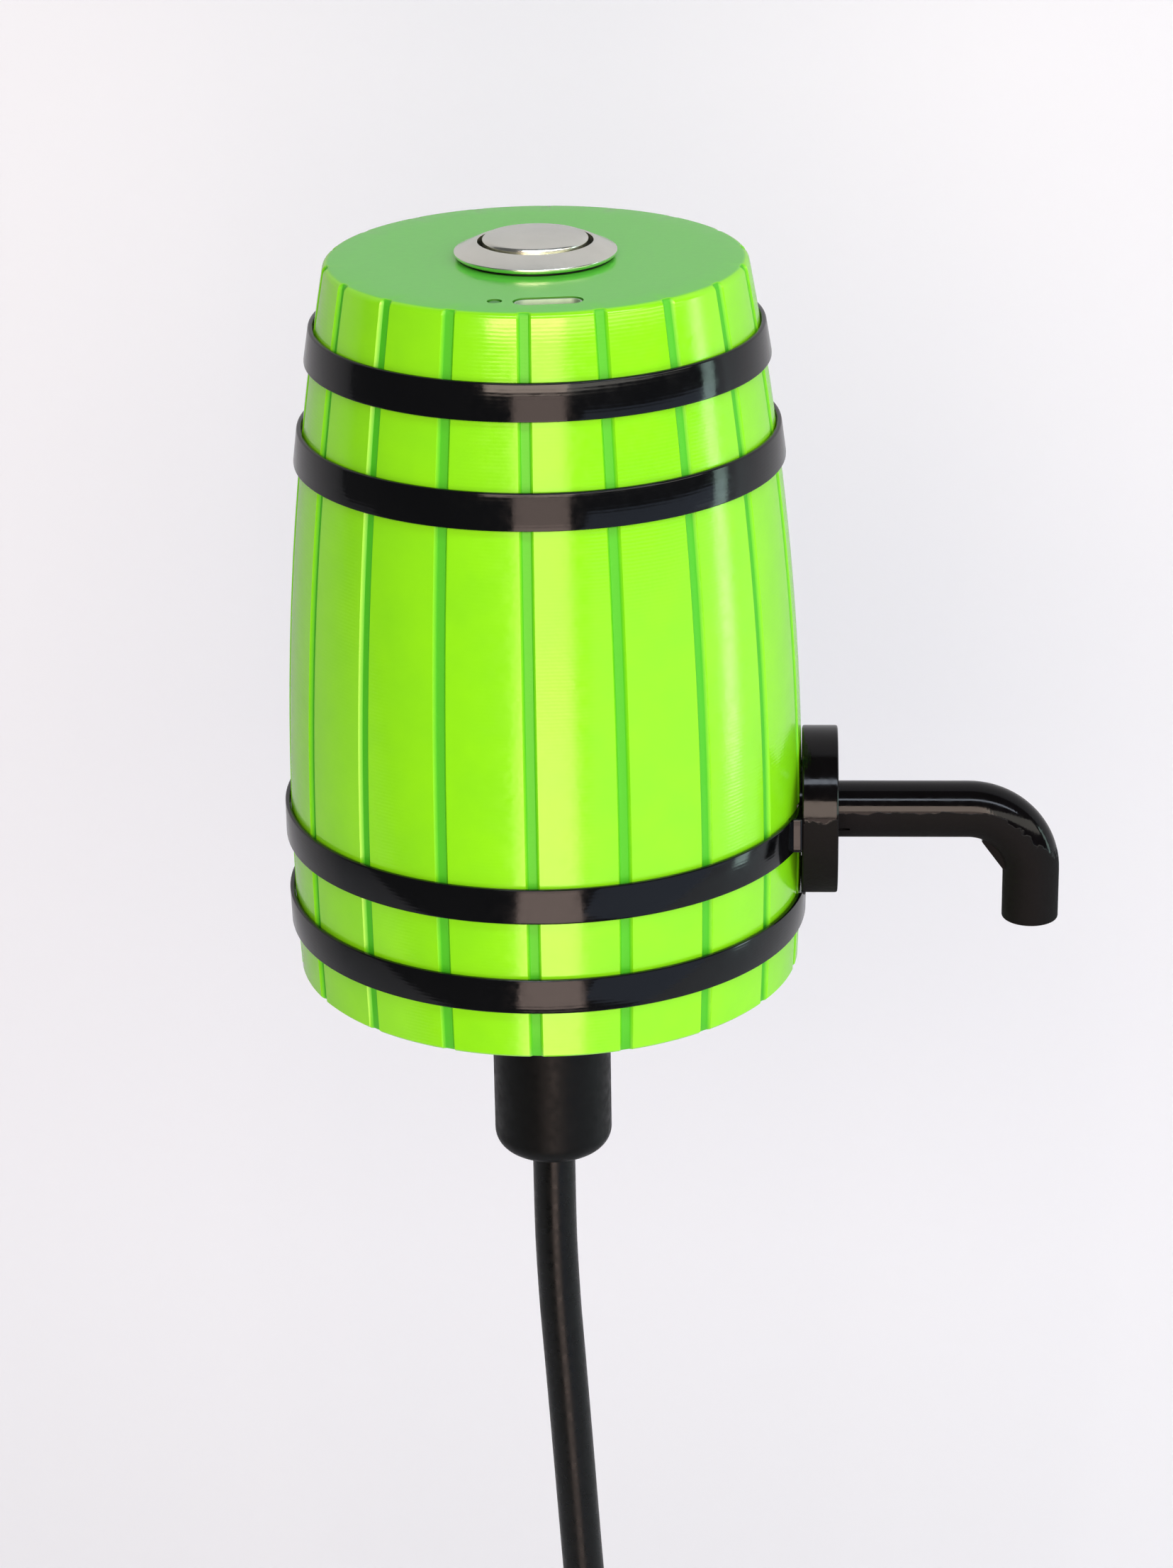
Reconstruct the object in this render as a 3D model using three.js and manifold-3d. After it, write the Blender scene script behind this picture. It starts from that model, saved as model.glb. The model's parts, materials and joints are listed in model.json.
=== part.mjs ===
// Electric cider pourer: a small staved barrel that seats on a neck, with a rechargeable gear pump inside,
// a push button on top and a bent spout at its side.
// Millimetres, +Z up. The origin is the centre of the barrel's underside, the spout points along +X,
// and the charging socket lies near the rim on the -Y side.

import * as THREE from 'three';
import { mergeVertices } from 'three/addons/utils/BufferGeometryUtils.js';
import Module from 'manifold-3d';

const wasm = await Module();
wasm.setup();

// Shared clearances
const SEAT_GAP = 0.1; // between flat faces that rest on each other
const FIT_GAP = 0.15; // round a piece that sits in a hole
const RUN_GAP = 0.12; // round a piece that turns or slides
const OVERRUN = 1; // how far a cutter passes the face that it cuts

// Roundness
const BARREL_SIDES = 54;
const CORE_SIDES = 36;
const ROUND_SIDES = 24;
const HIDDEN_SIDES = 18;
const SMALL_SIDES = 12;
const HOLE_SIDES = 8;
const SCREW_SIDES = 6;
const HOSE_SIDES = 8;
const WIRE_SIDES = 6;
const ROUNDING_STEPS = 2;

// Barrel shell
const BARREL_HEIGHT = 102;
const BELLY_RADIUS = 36;
const BELLY_HEIGHT = 22;
const TOP_RADIUS = 28.55;
const WALL = 2.4;
const TOP_THICKNESS = 2.6;
const RIM_ROUND = 0.8;
const SIDE_STEPS = 5;
const INNER_STEPS = 4;
const STAVE_COUNT = 18;
const GROOVE_WIDTH = 1.8;
const GROOVE_DEPTH = 0.45;

// Hoops
const HOOP_HEIGHT = 5;
const HOOP_PROUD = 0.9;
const LUG_WIDTH = 24;
const HEAD_HOOP_TOP_DROP = 11.1;
const QUARTER_HOOP_TOP_DROP = 25.2;
const QUARTER_HOOP_BOTTOM_LEVEL = 22.75;
const HEAD_HOOP_BOTTOM_LEVEL = 9.5;

// Base plate and its screws
const BASE_THICKNESS = 3;
const BOSS_RADIUS = 3.2;
const BOSS_INSET = 7;
const BOSS_HEIGHT = 11;
const BOSS_WEB = 2.4;
const BOSS_COUNT = 4;
const BOSS_AZIMUTH_DEG = 45;
const BASE_SCREW_SHANK = 1;
const BASE_SCREW_LENGTH = 8;
const SCREW_HEAD_RADIUS = 2.1;
const SCREW_HEAD_HEIGHT = 1.3;
const COUNTERBORE_DEPTH = 1.7;

// Neck stopper and the spigot that it is pushed on
const SPIGOT_RADIUS = 5.5;
const SPIGOT_LENGTH = 24;
const STOPPER_RADIUS = 8.5;
const STOPPER_LENGTH = 31;
const STOPPER_CORNER = 3;
const STOPPER_LIP = 0.4;
const TUBE_SOCKET_DEPTH = 12;
const VENT_RADIUS = 0.7;
const VENT_OFFSET = 4.4;

// Hoses and the barbs that they are pushed on
const HOSE_OUTER_RADIUS = 3.4;
const HOSE_BORE_RADIUS = 2.4;
const BARB_ROOT_RADIUS = 1.9;
const BARB_LENGTH = 4.4;
const BARB_RINGS = 2;
const FLOW_RADIUS = 1.3;

// Dip tube, as far as it hangs below the barrel
const DIP_TUBE_RADIUS = 3.1;
const DIP_TUBE_STEPS = 17;

// Spout
const SPOUT_LEVEL = 22;
const SPOUT_RADIUS = 4.05;
const SPOUT_BORE = 2;
const SPOUT_REACH = 68.4;
const SPOUT_BEND = 9;
const SPOUT_TIP_LEVEL = 5.6;
const SPOUT_TAIL_DEPTH = 10;
const SPOUT_SIDES = 18;
const SPOUT_BEND_STEPS = 6;
const WEB_WIDTH = 3;
const WEB_REACH = 4.25;
const WEB_ROOT = 6;
const WEB_MIDDLE_DEG = 54;
const WEB_SPAN_DEG = 31;
const FLANGE_RADIUS = 11.8;
const FLANGE_THICKNESS = 4.8;
const FLANGE_STAND_OFF = 0.2;
const FLANGE_EDGE = 0.3;
const FLANGE_COLLAR_RADIUS = 6;
const FLANGE_COLLAR_LENGTH = 4;
const FLANGE_HOOP_GAP = 0.35;
const PAD_RADIUS = 9.5;
const PAD_DEPTH = 5;
const SPOUT_WASHER_RADIUS = 8;
const SPOUT_WASHER_THICKNESS = 0.8;
const SPOUT_NUT_WIDTH = 13;
const SPOUT_NUT_THICKNESS = 3.2;

// Push button, a 19 mm stainless panel switch
const BUTTON_BODY_RADIUS = 9.4;
const BUTTON_FLANGE_RADIUS = 11;
const BUTTON_RIM_THICKNESS = 0.55;
const BUTTON_LIP_HEIGHT = 1.55;
const BUTTON_LIP_WIDTH = 0.35;
const BUTTON_LIP_RADIUS = 7.8;
const BUTTON_BODY_LENGTH = 18;
const BUTTON_SHELF_DEPTH = 8;
const BUTTON_SHELF_THICKNESS = 3;
const BUTTON_GASKET_THICKNESS = 0.4;
const BUTTON_GASKET_RADIUS = 10.5;
const BUTTON_NUT_WIDTH = 22;
const BUTTON_NUT_THICKNESS = 3;
const CAP_RADIUS = 7.35;
const CAP_RISE = 1.2;
const CAP_HEIGHT = 3.6;
const CAP_ROUND = 0.9;
const CAP_CROWN = 0.25;
const CAP_STEM_RADIUS = 3.6;
const BUTTON_TRAVEL = 1.8;
const CLIP_THICKNESS = 0.6;
const CLIP_WIDTH = 1.1;
const CLIP_GROOVE_DEPTH = 0.5;
const STEM_TAIL = 1.3;
const CONTACT_DISC_THICKNESS = 0.5;
const CONTACT_DISC_RADIUS = 5.4;
const CONTACT_SPACING = 7.2;
const CONTACT_RADIUS = 1.1;
const CONTACT_CLEARANCE = 0.1;
const TERMINAL_BLOCK_RADIUS = 9.2;
const TERMINAL_BLOCK_HEIGHT = 4;
const TERMINAL_BLOCK_SPIGOT = 2.2;
const TERMINAL_WIDTH = 2.2;
const TERMINAL_THICKNESS = 0.6;
const TERMINAL_LENGTH = 5;
const SPRING_WIRE_RADIUS = 0.3;
const SPRING_RADIUS = 5.2;
const SPRING_TURNS = 5;
const SPRING_TURN_STEPS = 7;
const SPRING_SIDES = 5;

// Charging socket, status light and their board, turned together round the barrel's axis
const SOCKET_AZIMUTH_DEG = 7.2;
const SOCKET_RADIUS = 22.5;
const SOCKET_WIDTH = 8.94;
const SOCKET_DEPTH = 3.2;
const SOCKET_LENGTH = 7.3;
const SOCKET_WALL = 0.3;
const SOCKET_RECESS = 0.5;
const SOCKET_BACK = 1.2;
const SLOT_CLEARANCE = 0.3;
const TONGUE_WIDTH = 6.7;
const TONGUE_DEPTH = 0.7;
const TONGUE_RECESS = 0.6;
const LIGHT_RADIUS = 0.85;
const LIGHT_OFFSET = 6.9;
const LIGHT_RECESS = 0.3;
const LIGHT_LENGTH = 5;
const LIGHT_BASE_WIDTH = 1.6;
const LIGHT_BASE_HEIGHT = 1.2;
const BOARD_WIDTH = 18;
const BOARD_LENGTH = 24;
const BOARD_THICKNESS = 1.2;
const BOARD_TOP_GAP = 0.6;
const BLOCK_SIZE = 3.6;
const BLOCK_LENGTH = 12;
const BLOCK_SPACING = 13;
const BOARD_SCREW_SHANK = 0.8;
const BOARD_SCREW_LENGTH = 4;
const BOARD_SCREW_HEAD = 1.6;

// Cell and cradle, for the common 18 by 65 mm cell
const CELL_RADIUS = 9.2;
const CELL_LENGTH = 65;
const CELL_EDGE = 0.6;
const CELL_CAP_RADIUS = 4;
const CELL_CAP_HEIGHT = 0.6;
const CELL_OFFSET = 20.5;
const CRADLE_WALL = 1.3;
const CRADLE_FLOOR = 1;
const CRADLE_HEIGHT = 34;
const CRADLE_MOUTH = 14;
const TAB_THICKNESS = 0.25;
const TAB_WIDTH = 4;
const TAB_OFFSET = 3;

// Gear pump
const PUMP_OFFSET = 4.5;
const GEAR_MODULE = 0.8;
const GEAR_TEETH = 12;
const GEAR_PRESSURE_DEG = 28;
const GEAR_ADDENDUM = 0.7;
const GEAR_DEDENDUM = 0.95;
const GEAR_BACKLASH = 0.14;
const GEAR_FACE_WIDTH = 6.6;
const FLANK_STEPS = 2;
const CAVITY_CLEARANCE = 0.2;
const PUMP_SIDE_WIDTH = 23;
const PUMP_SIDE_LENGTH = 29;
const PUMP_CORNER = 3;
const PUMP_COVER_THICKNESS = 2.2;
const PUMP_ROOF = 4.8;
const CHAMBER_WIDTH = 4.4;
const CHAMBER_LENGTH = 12.4;
const SHAFT_RADIUS = 1;
const SEAL_RADIUS = 3.1;
const SEAL_HEIGHT = 1.9;
const PIN_GRIP = 1.4;
const PUMP_SCREW_X = 8.9;
const PUMP_SCREW_Y = 11.9;
const PUMP_SCREW_SHANK = 1.1;
const PUMP_SCREW_GRIP = 6;
const PUMP_POST_RADIUS = 3;

// Motor
const MOTOR_RADIUS = 12.2;
const MOTOR_HEADROOM = 14.28;
const MOTOR_ROUND = 0.8;
const MOTOR_BOSS_RADIUS = 3;
const MOTOR_BOSS_HEIGHT = 1.5;
const MOTOR_CAP_HEIGHT = 2.4;
const MOTOR_CAP_RADIUS = 11;
const MOTOR_SCREW_OFFSET = 8.5;
const MOTOR_SCREW_SHANK = 0.95;
const MOTOR_SCREW_HEAD = 1.7;
const MOTOR_SCREW_BITE = 2.4;
const MOTOR_SCREW_SHOULDER = 4;
const MOTOR_TERMINAL_OFFSET = 7;
const MOTOR_TERMINAL_WIDTH = 2.4;
const MOTOR_TERMINAL_THICKNESS = 0.5;
const MOTOR_TERMINAL_LENGTH = 3.4;
const SHAFT_IN_MOTOR = 6;

// Leads
const WIRE_RADIUS = 0.75;
const WIRE_STEPS = 10;
const WIRE_LIFT = 3.5;
const WIRE_DROP = 2;
const PAD_SPACING = 3;
const PAD_HEIGHT = 6;

// Levels and places that follow from the sizes above
const TOP_UNDERSIDE = BARREL_HEIGHT - TOP_THICKNESS;
const HEAD_HOOP_TOP_LEVEL = BARREL_HEIGHT - HEAD_HOOP_TOP_DROP;
const QUARTER_HOOP_TOP_LEVEL = BARREL_HEIGHT - QUARTER_HOOP_TOP_DROP;
const LUG_FACE = BELLY_RADIUS;
const PAD_FACE = BELLY_RADIUS - PAD_DEPTH;
const BOSS_RING = BELLY_RADIUS - BOSS_INSET;
const SPOUT_INNER_END = BELLY_RADIUS - SPOUT_TAIL_DEPTH;
const GEAR_PITCH_RADIUS = GEAR_MODULE * GEAR_TEETH / 2;
const GEAR_TIP_RADIUS = GEAR_PITCH_RADIUS + GEAR_ADDENDUM;
const CAVITY_RADIUS = GEAR_TIP_RADIUS + CAVITY_CLEARANCE;
const CAVITY_LOW = SPOUT_LEVEL - GEAR_FACE_WIDTH / 2 - RUN_GAP;
const CAVITY_HIGH = SPOUT_LEVEL + GEAR_FACE_WIDTH / 2 + RUN_GAP;
const PUMP_COVER_LOW = CAVITY_LOW - SEAT_GAP - PUMP_COVER_THICKNESS;
const PUMP_ROOF_HIGH = CAVITY_HIGH + PUMP_ROOF;
const MOTOR_LOW = PUMP_ROOF_HIGH + SEAT_GAP;
const BUTTON_FLANGE_LOW = BARREL_HEIGHT + BUTTON_GASKET_THICKNESS + SEAT_GAP;
const BUTTON_LIP_LEVEL = BUTTON_FLANGE_LOW + BUTTON_LIP_HEIGHT;
const BUTTON_BODY_LOW = BUTTON_FLANGE_LOW - BUTTON_BODY_LENGTH;
const SHELF_HIGH = BUTTON_LIP_LEVEL - BUTTON_SHELF_DEPTH;
const SHELF_LOW = SHELF_HIGH - BUTTON_SHELF_THICKNESS;
const CAP_TOP = BUTTON_LIP_LEVEL + CAP_RISE;
const CAP_UNDERSIDE = CAP_TOP - CAP_HEIGHT;
const CLIP_HIGH = SHELF_LOW - SEAT_GAP;
const CLIP_LOW = CLIP_HIGH - CLIP_THICKNESS;
const CONTACT_DISC_HIGH = CLIP_LOW - STEM_TAIL;
const CONTACT_DISC_LOW = CONTACT_DISC_HIGH - CONTACT_DISC_THICKNESS;
const CONTACT_HIGH = CONTACT_DISC_LOW - BUTTON_TRAVEL - CONTACT_CLEARANCE;
const BLOCK_HIGH = BUTTON_BODY_LOW - SEAT_GAP;
const BLOCK_LOW = BLOCK_HIGH - TERMINAL_BLOCK_HEIGHT;
const TERMINAL_LOW = BLOCK_LOW - TERMINAL_LENGTH;
const MOTOR_HIGH = TERMINAL_LOW - MOTOR_HEADROOM;
const MOTOR_CAP_HIGH = MOTOR_HIGH + SEAT_GAP + MOTOR_CAP_HEIGHT;
const MOTOR_TERMINAL_HIGH = MOTOR_CAP_HIGH + MOTOR_TERMINAL_LENGTH;
const CELL_LOW = BASE_THICKNESS + CRADLE_FLOOR + SEAT_GAP + TAB_THICKNESS + SEAT_GAP;
const CELL_HIGH = CELL_LOW + CELL_LENGTH;
const SOCKET_HIGH = BARREL_HEIGHT - SOCKET_RECESS;
const SOCKET_LOW = SOCKET_HIGH - SOCKET_LENGTH;
const BOARD_FACE = SOCKET_RADIUS - SOCKET_DEPTH / 2 - SEAT_GAP;
const BOARD_HIGH = TOP_UNDERSIDE - BOARD_TOP_GAP;
const BOARD_LOW = BOARD_HIGH - BOARD_LENGTH;
const BOARD_SCREW_LEVEL = TOP_UNDERSIDE - BLOCK_LENGTH / 2;
const FLANGE_BACK = BELLY_RADIUS + FLANGE_STAND_OFF;
const FLANGE_FACE = FLANGE_BACK + FLANGE_THICKNESS;
const PUMP_OUTLET_FACE = PUMP_OFFSET + PUMP_SIDE_WIDTH / 2;
const SOCKET_TURN = THREE.MathUtils.degToRad(SOCKET_AZIMUTH_DEG);

// Finishes
function finish(colour, roughness, metalness) {
  return { colour, roughness, metalness };
}

const LIME = finish('#8fe31a', 0.42, 0);
const BLACK_PRINT = finish('#15161a', 0.34, 0);
const BLACK_MATT = finish('#1b1b1d', 0.6, 0);
const BLACK_RUBBER = finish('#161616', 0.8, 0);
const STAINLESS = finish('#b9b4ad', 0.34, 1);
const STEEL = finish('#9c9fa3', 0.4, 1);
const BRASS = finish('#c3a24d', 0.35, 1);
const CLEAR_HOSE = finish('#dfe4e2', 0.3, 0);
const PUMP_WHITE = finish('#d9d7cf', 0.5, 0);
const NYLON = finish('#ece7d8', 0.55, 0);
const BOARD_GREEN = finish('#1d5c35', 0.5, 0);
const CELL_WRAP = finish('#2f7fb5', 0.4, 0);
const LIGHT_GUIDE = finish('#c9e3c4', 0.2, 0);
const RED_WIRE = finish('#b3261e', 0.5, 0);
const BLACK_WIRE = finish('#202022', 0.5, 0);

// Geometry helpers

function signedVolume(points, corners) {
  const a = new THREE.Vector3();
  const b = new THREE.Vector3();
  const c = new THREE.Vector3();
  let total = 0;
  for (let i = 0; i < corners.length; i += 3) {
    a.fromArray(points, corners[i] * 3);
    b.fromArray(points, corners[i + 1] * 3);
    c.fromArray(points, corners[i + 2] * 3);
    total += a.dot(b.cross(c));
  }
  return total / 6;
}

// A closed geometry as a solid, with its faces turned outwards.
function solidOf(geometry) {
  let bare = geometry;
  if (geometry.attributes.normal) {
    bare = geometry.clone();
    bare.deleteAttribute('normal');
    bare.deleteAttribute('uv');
    bare = mergeVertices(bare);
  }
  const points = bare.attributes.position.array;
  const corners = [];
  for (let i = 0; i < bare.index.count; i += 3) {
    const face = [bare.index.getX(i), bare.index.getX(i + 1), bare.index.getX(i + 2)];
    if (new Set(face).size === face.length) {
      corners.push(...face);
    }
  }
  if (signedVolume(points, corners) < 0) {
    corners.reverse();
  }
  const mesh = new wasm.Mesh({
    numProp: 3,
    vertProperties: Float32Array.from(points),
    triVerts: Uint32Array.from(corners),
  });
  return new wasm.Manifold(mesh);
}

function geometryOf(solid) {
  const mesh = solid.getMesh();
  const geometry = new THREE.BufferGeometry();
  geometry.setAttribute('position', new THREE.BufferAttribute(mesh.vertProperties, 3));
  geometry.setIndex(new THREE.BufferAttribute(mesh.triVerts, 1));
  return geometry;
}

function join(...geometries) {
  return geometryOf(geometries.map(solidOf).reduce((whole, next) => whole.add(next)));
}

function cut(geometry, ...cutters) {
  return geometryOf(cutters.map(solidOf).reduce((rest, next) => rest.subtract(next), solidOf(geometry)));
}

function overlap(first, second) {
  return geometryOf(solidOf(first).intersect(solidOf(second)));
}

// Turns an outline of [radius, height] pairs about +Z. Azimuth zero is -Y.
function revolve(outline, sides) {
  const points = outline.map(([radius, height]) => new THREE.Vector2(radius, height));
  return new THREE.LatheGeometry(points, sides).rotateX(Math.PI / 2);
}

function closed(outline) {
  return [...outline, outline[0]];
}

function rod(radius, low, high, sides) {
  return revolve([[0, low], [radius, low], [radius, high], [0, high]], sides);
}

function sleeve(inner, outer, low, high, sides) {
  return revolve(closed([[inner, low], [outer, low], [outer, high], [inner, high]]), sides);
}

function box(width, depth, low, high) {
  const height = high - low;
  return new THREE.BoxGeometry(width, depth, height).translate(0, 0, low + height / 2);
}

// Lays what was made along +Z down along +X.
function alongX(geometry) {
  return geometry.rotateY(Math.PI / 2);
}

function roundedRectangle(width, depth, corner) {
  const x = width / 2 - corner;
  const y = depth / 2 - corner;
  const quarter = Math.PI / 2;
  const shape = new THREE.Shape();
  shape.absarc(x, y, corner, 0, quarter, false);
  shape.absarc(-x, y, corner, quarter, 2 * quarter, false);
  shape.absarc(-x, -y, corner, 2 * quarter, 3 * quarter, false);
  shape.absarc(x, -y, corner, 3 * quarter, 4 * quarter, false);
  return shape;
}

function regularPolygon(radius, sides) {
  const points = [];
  for (let i = 0; i < sides; i += 1) {
    const angle = (i + 0.5) * 2 * Math.PI / sides;
    points.push(new THREE.Vector2(radius * Math.cos(angle), radius * Math.sin(angle)));
  }
  return new THREE.Shape(points);
}

function prism(shape, low, high, curveSegments = ROUNDING_STEPS) {
  const depth = high - low;
  const settings = { depth, bevelEnabled: false, curveSegments };
  return new THREE.ExtrudeGeometry(shape, settings).translate(0, 0, low);
}

// A path through stations, with one sweep step from each station to the next.
class StationPath extends THREE.Curve {
  constructor(stations) {
    super();
    this.stations = stations;
  }

  getPoint(t, target = new THREE.Vector3()) {
    const place = Math.min(Math.max(t, 0), 1) * (this.stations.length - 1);
    const before = Math.min(Math.floor(place), this.stations.length - 2);
    return target.lerpVectors(this.stations[before], this.stations[before + 1], place - before);
  }

  getUtoTmapping(u) {
    return u;
  }
}

function sweep(radius, sides, stations) {
  const path = new StationPath(stations);
  const settings = { steps: stations.length - 1, bevelEnabled: false, extrudePath: path };
  return new THREE.ExtrudeGeometry(regularPolygon(radius, sides), settings);
}

// A closed skin through rings of equal count, with a fan over each end.
function loft(rings) {
  const count = rings[0].length;
  const points = rings.flat();
  const last = points.length - count;
  const floor = points.length;
  const roof = floor + 1;
  points.push(new THREE.Vector3(0, 0, rings[0][0].z), new THREE.Vector3(0, 0, rings.at(-1)[0].z));
  const corners = [];
  for (let i = 0; i < count; i += 1) {
    const next = (i + 1) % count;
    corners.push(floor, next, i, roof, last + i, last + next);
    for (let start = 0; start < last; start += count) {
      corners.push(start + i, start + next, start + count + next);
      corners.push(start + i, start + count + next, start + count + i);
    }
  }
  const geometry = new THREE.BufferGeometry().setFromPoints(points);
  geometry.setIndex(corners);
  return geometry;
}

function placed(geometry, x, y, z = 0) {
  return geometry.translate(x, y, z);
}

// Barrel

// The side is one arc, widest at the belly and narrowest at the top.
function sideRadius(height) {
  const draw = BELLY_RADIUS - TOP_RADIUS;
  const rise = BARREL_HEIGHT - BELLY_HEIGHT;
  const arc = (draw * draw + rise * rise) / (2 * draw);
  const away = height - BELLY_HEIGHT;
  return BELLY_RADIUS - arc + Math.sqrt(arc * arc - away * away);
}

// Points on the side from one height to another, moved outwards by an offset.
function sideOutline(low, high, offset, steps) {
  const outline = [];
  for (let i = 0; i <= steps; i += 1) {
    const height = low + (high - low) * i / steps;
    outline.push([sideRadius(height) + offset, height]);
  }
  return outline;
}

function rimOutline() {
  const outline = [];
  const centreHeight = BARREL_HEIGHT - RIM_ROUND;
  const centreRadius = sideRadius(centreHeight) - RIM_ROUND;
  for (let i = 1; i <= ROUNDING_STEPS; i += 1) {
    const angle = i / ROUNDING_STEPS * Math.PI / 2;
    outline.push([
      centreRadius + RIM_ROUND * Math.cos(angle),
      centreHeight + RIM_ROUND * Math.sin(angle),
    ]);
  }
  return outline;
}

// One level of the outside: a land with two facet corners, then a groove, for each stave.
function staveRing([radius, height]) {
  const ring = [];
  const pitch = 2 * Math.PI / STAVE_COUNT;
  const half = Math.asin(GROOVE_WIDTH / 2 / radius);
  const corners = BARREL_SIDES / STAVE_COUNT;
  const floor = radius - GROOVE_DEPTH;
  const put = (away, angle) => ring.push(
    new THREE.Vector3(away * Math.sin(angle), -away * Math.cos(angle), height),
  );
  for (let i = 0; i < STAVE_COUNT; i += 1) {
    const centre = i * pitch;
    put(radius, centre - half);
    put(floor, centre - half);
    put(floor, centre + half);
    put(radius, centre + half);
    for (let j = 1; j < corners; j += 1) {
      put(radius, centre + j * pitch / corners);
    }
  }
  return ring;
}

function barrelHull() {
  const outline = [...sideOutline(0, BARREL_HEIGHT - RIM_ROUND, 0, SIDE_STEPS), ...rimOutline()];
  const core = revolve([
    [0, -OVERRUN],
    [sideRadius(0) - WALL, -OVERRUN],
    ...sideOutline(0, TOP_UNDERSIDE, -WALL, INNER_STEPS),
    [0, TOP_UNDERSIDE],
  ], CORE_SIDES);
  return cut(loft(outline.map(staveRing)), core);
}

// The space inside the middle of the wall, to which inner bosses and pads are trimmed.
function wallCore() {
  const side = sideOutline(0, TOP_UNDERSIDE, -WALL / 2, INNER_STEPS);
  return revolve([[0, 0], ...side, [0, TOP_UNDERSIDE]], CORE_SIDES);
}

function aroundBosses(geometryAt) {
  const pieces = [];
  for (let i = 0; i < BOSS_COUNT; i += 1) {
    const turn = THREE.MathUtils.degToRad(BOSS_AZIMUTH_DEG) + i * 2 * Math.PI / BOSS_COUNT;
    pieces.push(geometryAt().rotateZ(turn));
  }
  return pieces;
}

function screwBoss() {
  const low = BASE_THICKNESS + SEAT_GAP;
  const web = box(BOSS_WEB, BELLY_RADIUS - BOSS_RING, low, low + BOSS_HEIGHT);
  return join(
    placed(rod(BOSS_RADIUS, low, low + BOSS_HEIGHT, SMALL_SIDES), 0, -BOSS_RING),
    placed(web, 0, -(BELLY_RADIUS + BOSS_RING) / 2),
  );
}

function spoutPad() {
  return placed(alongX(rod(PAD_RADIUS, PAD_FACE, BELLY_RADIUS, ROUND_SIDES)), 0, 0, SPOUT_LEVEL);
}

function boardBlocks() {
  const back = BOARD_FACE - BOARD_THICKNESS - SEAT_GAP - BLOCK_SIZE / 2;
  return [-1, 1].map((side) => placed(
    box(BLOCK_SIZE, BLOCK_SIZE, TOP_UNDERSIDE - BLOCK_LENGTH, BARREL_HEIGHT - TOP_THICKNESS / 2),
    side * BLOCK_SPACING / 2,
    -back,
  ).rotateZ(SOCKET_TURN));
}

function boardScrewHoles(radius) {
  return [-1, 1].map((side) => placed(
    rod(radius, 0, BOARD_SCREW_LENGTH + OVERRUN, HOLE_SIDES).rotateX(-Math.PI / 2),
    side * BLOCK_SPACING / 2,
    -BOARD_FACE,
    BOARD_SCREW_LEVEL,
  ).rotateZ(SOCKET_TURN));
}

function socketSlot() {
  const width = SOCKET_WIDTH + SLOT_CLEARANCE;
  const depth = SOCKET_DEPTH + SLOT_CLEARANCE;
  const slot = prism(
    roundedRectangle(width, depth, depth / 2),
    TOP_UNDERSIDE - OVERRUN,
    BARREL_HEIGHT + OVERRUN,
    2 * ROUNDING_STEPS,
  );
  return placed(slot, 0, -SOCKET_RADIUS).rotateZ(SOCKET_TURN);
}

function lightPlace(geometry) {
  return placed(geometry, -LIGHT_OFFSET, -(BOARD_FACE + SEAT_GAP + LIGHT_RADIUS)).rotateZ(SOCKET_TURN);
}

function barrelShell() {
  const fittings = overlap(join(...aroundBosses(screwBoss), spoutPad()), wallCore());
  const low = BASE_THICKNESS;
  const pilot = () => placed(
    rod(BASE_SCREW_SHANK + FIT_GAP, low - OVERRUN, low + BASE_SCREW_LENGTH, HOLE_SIDES),
    0,
    -BOSS_RING,
  );
  return cut(
    join(barrelHull(), fittings, ...boardBlocks()),
    rod(BUTTON_BODY_RADIUS + FIT_GAP, TOP_UNDERSIDE - OVERRUN, BARREL_HEIGHT + OVERRUN, ROUND_SIDES),
    socketSlot(),
    lightPlace(rod(
      LIGHT_RADIUS + FIT_GAP,
      TOP_UNDERSIDE - OVERRUN,
      BARREL_HEIGHT + OVERRUN,
      SMALL_SIDES,
    )),
    placed(
      alongX(rod(FLANGE_COLLAR_RADIUS + FIT_GAP, PAD_FACE - OVERRUN, BELLY_RADIUS + OVERRUN, ROUND_SIDES)),
      0,
      0,
      SPOUT_LEVEL,
    ),
    ...aroundBosses(pilot),
    ...boardScrewHoles(BOARD_SCREW_SHANK + FIT_GAP),
  );
}

// A flat band that follows the slope of the side.
function hoop(level) {
  const low = level - HOOP_HEIGHT / 2;
  const high = level + HOOP_HEIGHT / 2;
  return revolve(closed([
    [sideRadius(low) + FIT_GAP, low],
    [sideRadius(low) + HOOP_PROUD, low],
    [sideRadius(high) + HOOP_PROUD, high],
    [sideRadius(high) + FIT_GAP, high],
  ]), BARREL_SIDES);
}

function alongSpout(radius, low, high) {
  return placed(alongX(rod(radius, low, high, ROUND_SIDES)), 0, 0, SPOUT_LEVEL);
}

// The hoop at the spout has two flat lugs, on which the spout's flange rests.
function luggedHoop(level) {
  const low = level - HOOP_HEIGHT / 2;
  const high = level + HOOP_HEIGHT / 2;
  const depth = LUG_FACE - PAD_FACE;
  const lugs = placed(box(depth, LUG_WIDTH, low, high), PAD_FACE + depth / 2, 0);
  const ahead = placed(box(depth, LUG_WIDTH, low - OVERRUN, high + OVERRUN), LUG_FACE + depth / 2, 0);
  const barrel = revolve([
    [0, low - OVERRUN],
    ...sideOutline(low - OVERRUN, high + OVERRUN, FIT_GAP, 1),
    [0, high + OVERRUN],
  ], BARREL_SIDES);
  const collarHole = alongSpout(FLANGE_COLLAR_RADIUS + FIT_GAP, 0, LUG_FACE + OVERRUN);
  return cut(join(hoop(level), lugs), ahead, barrel, collarHole);
}

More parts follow.
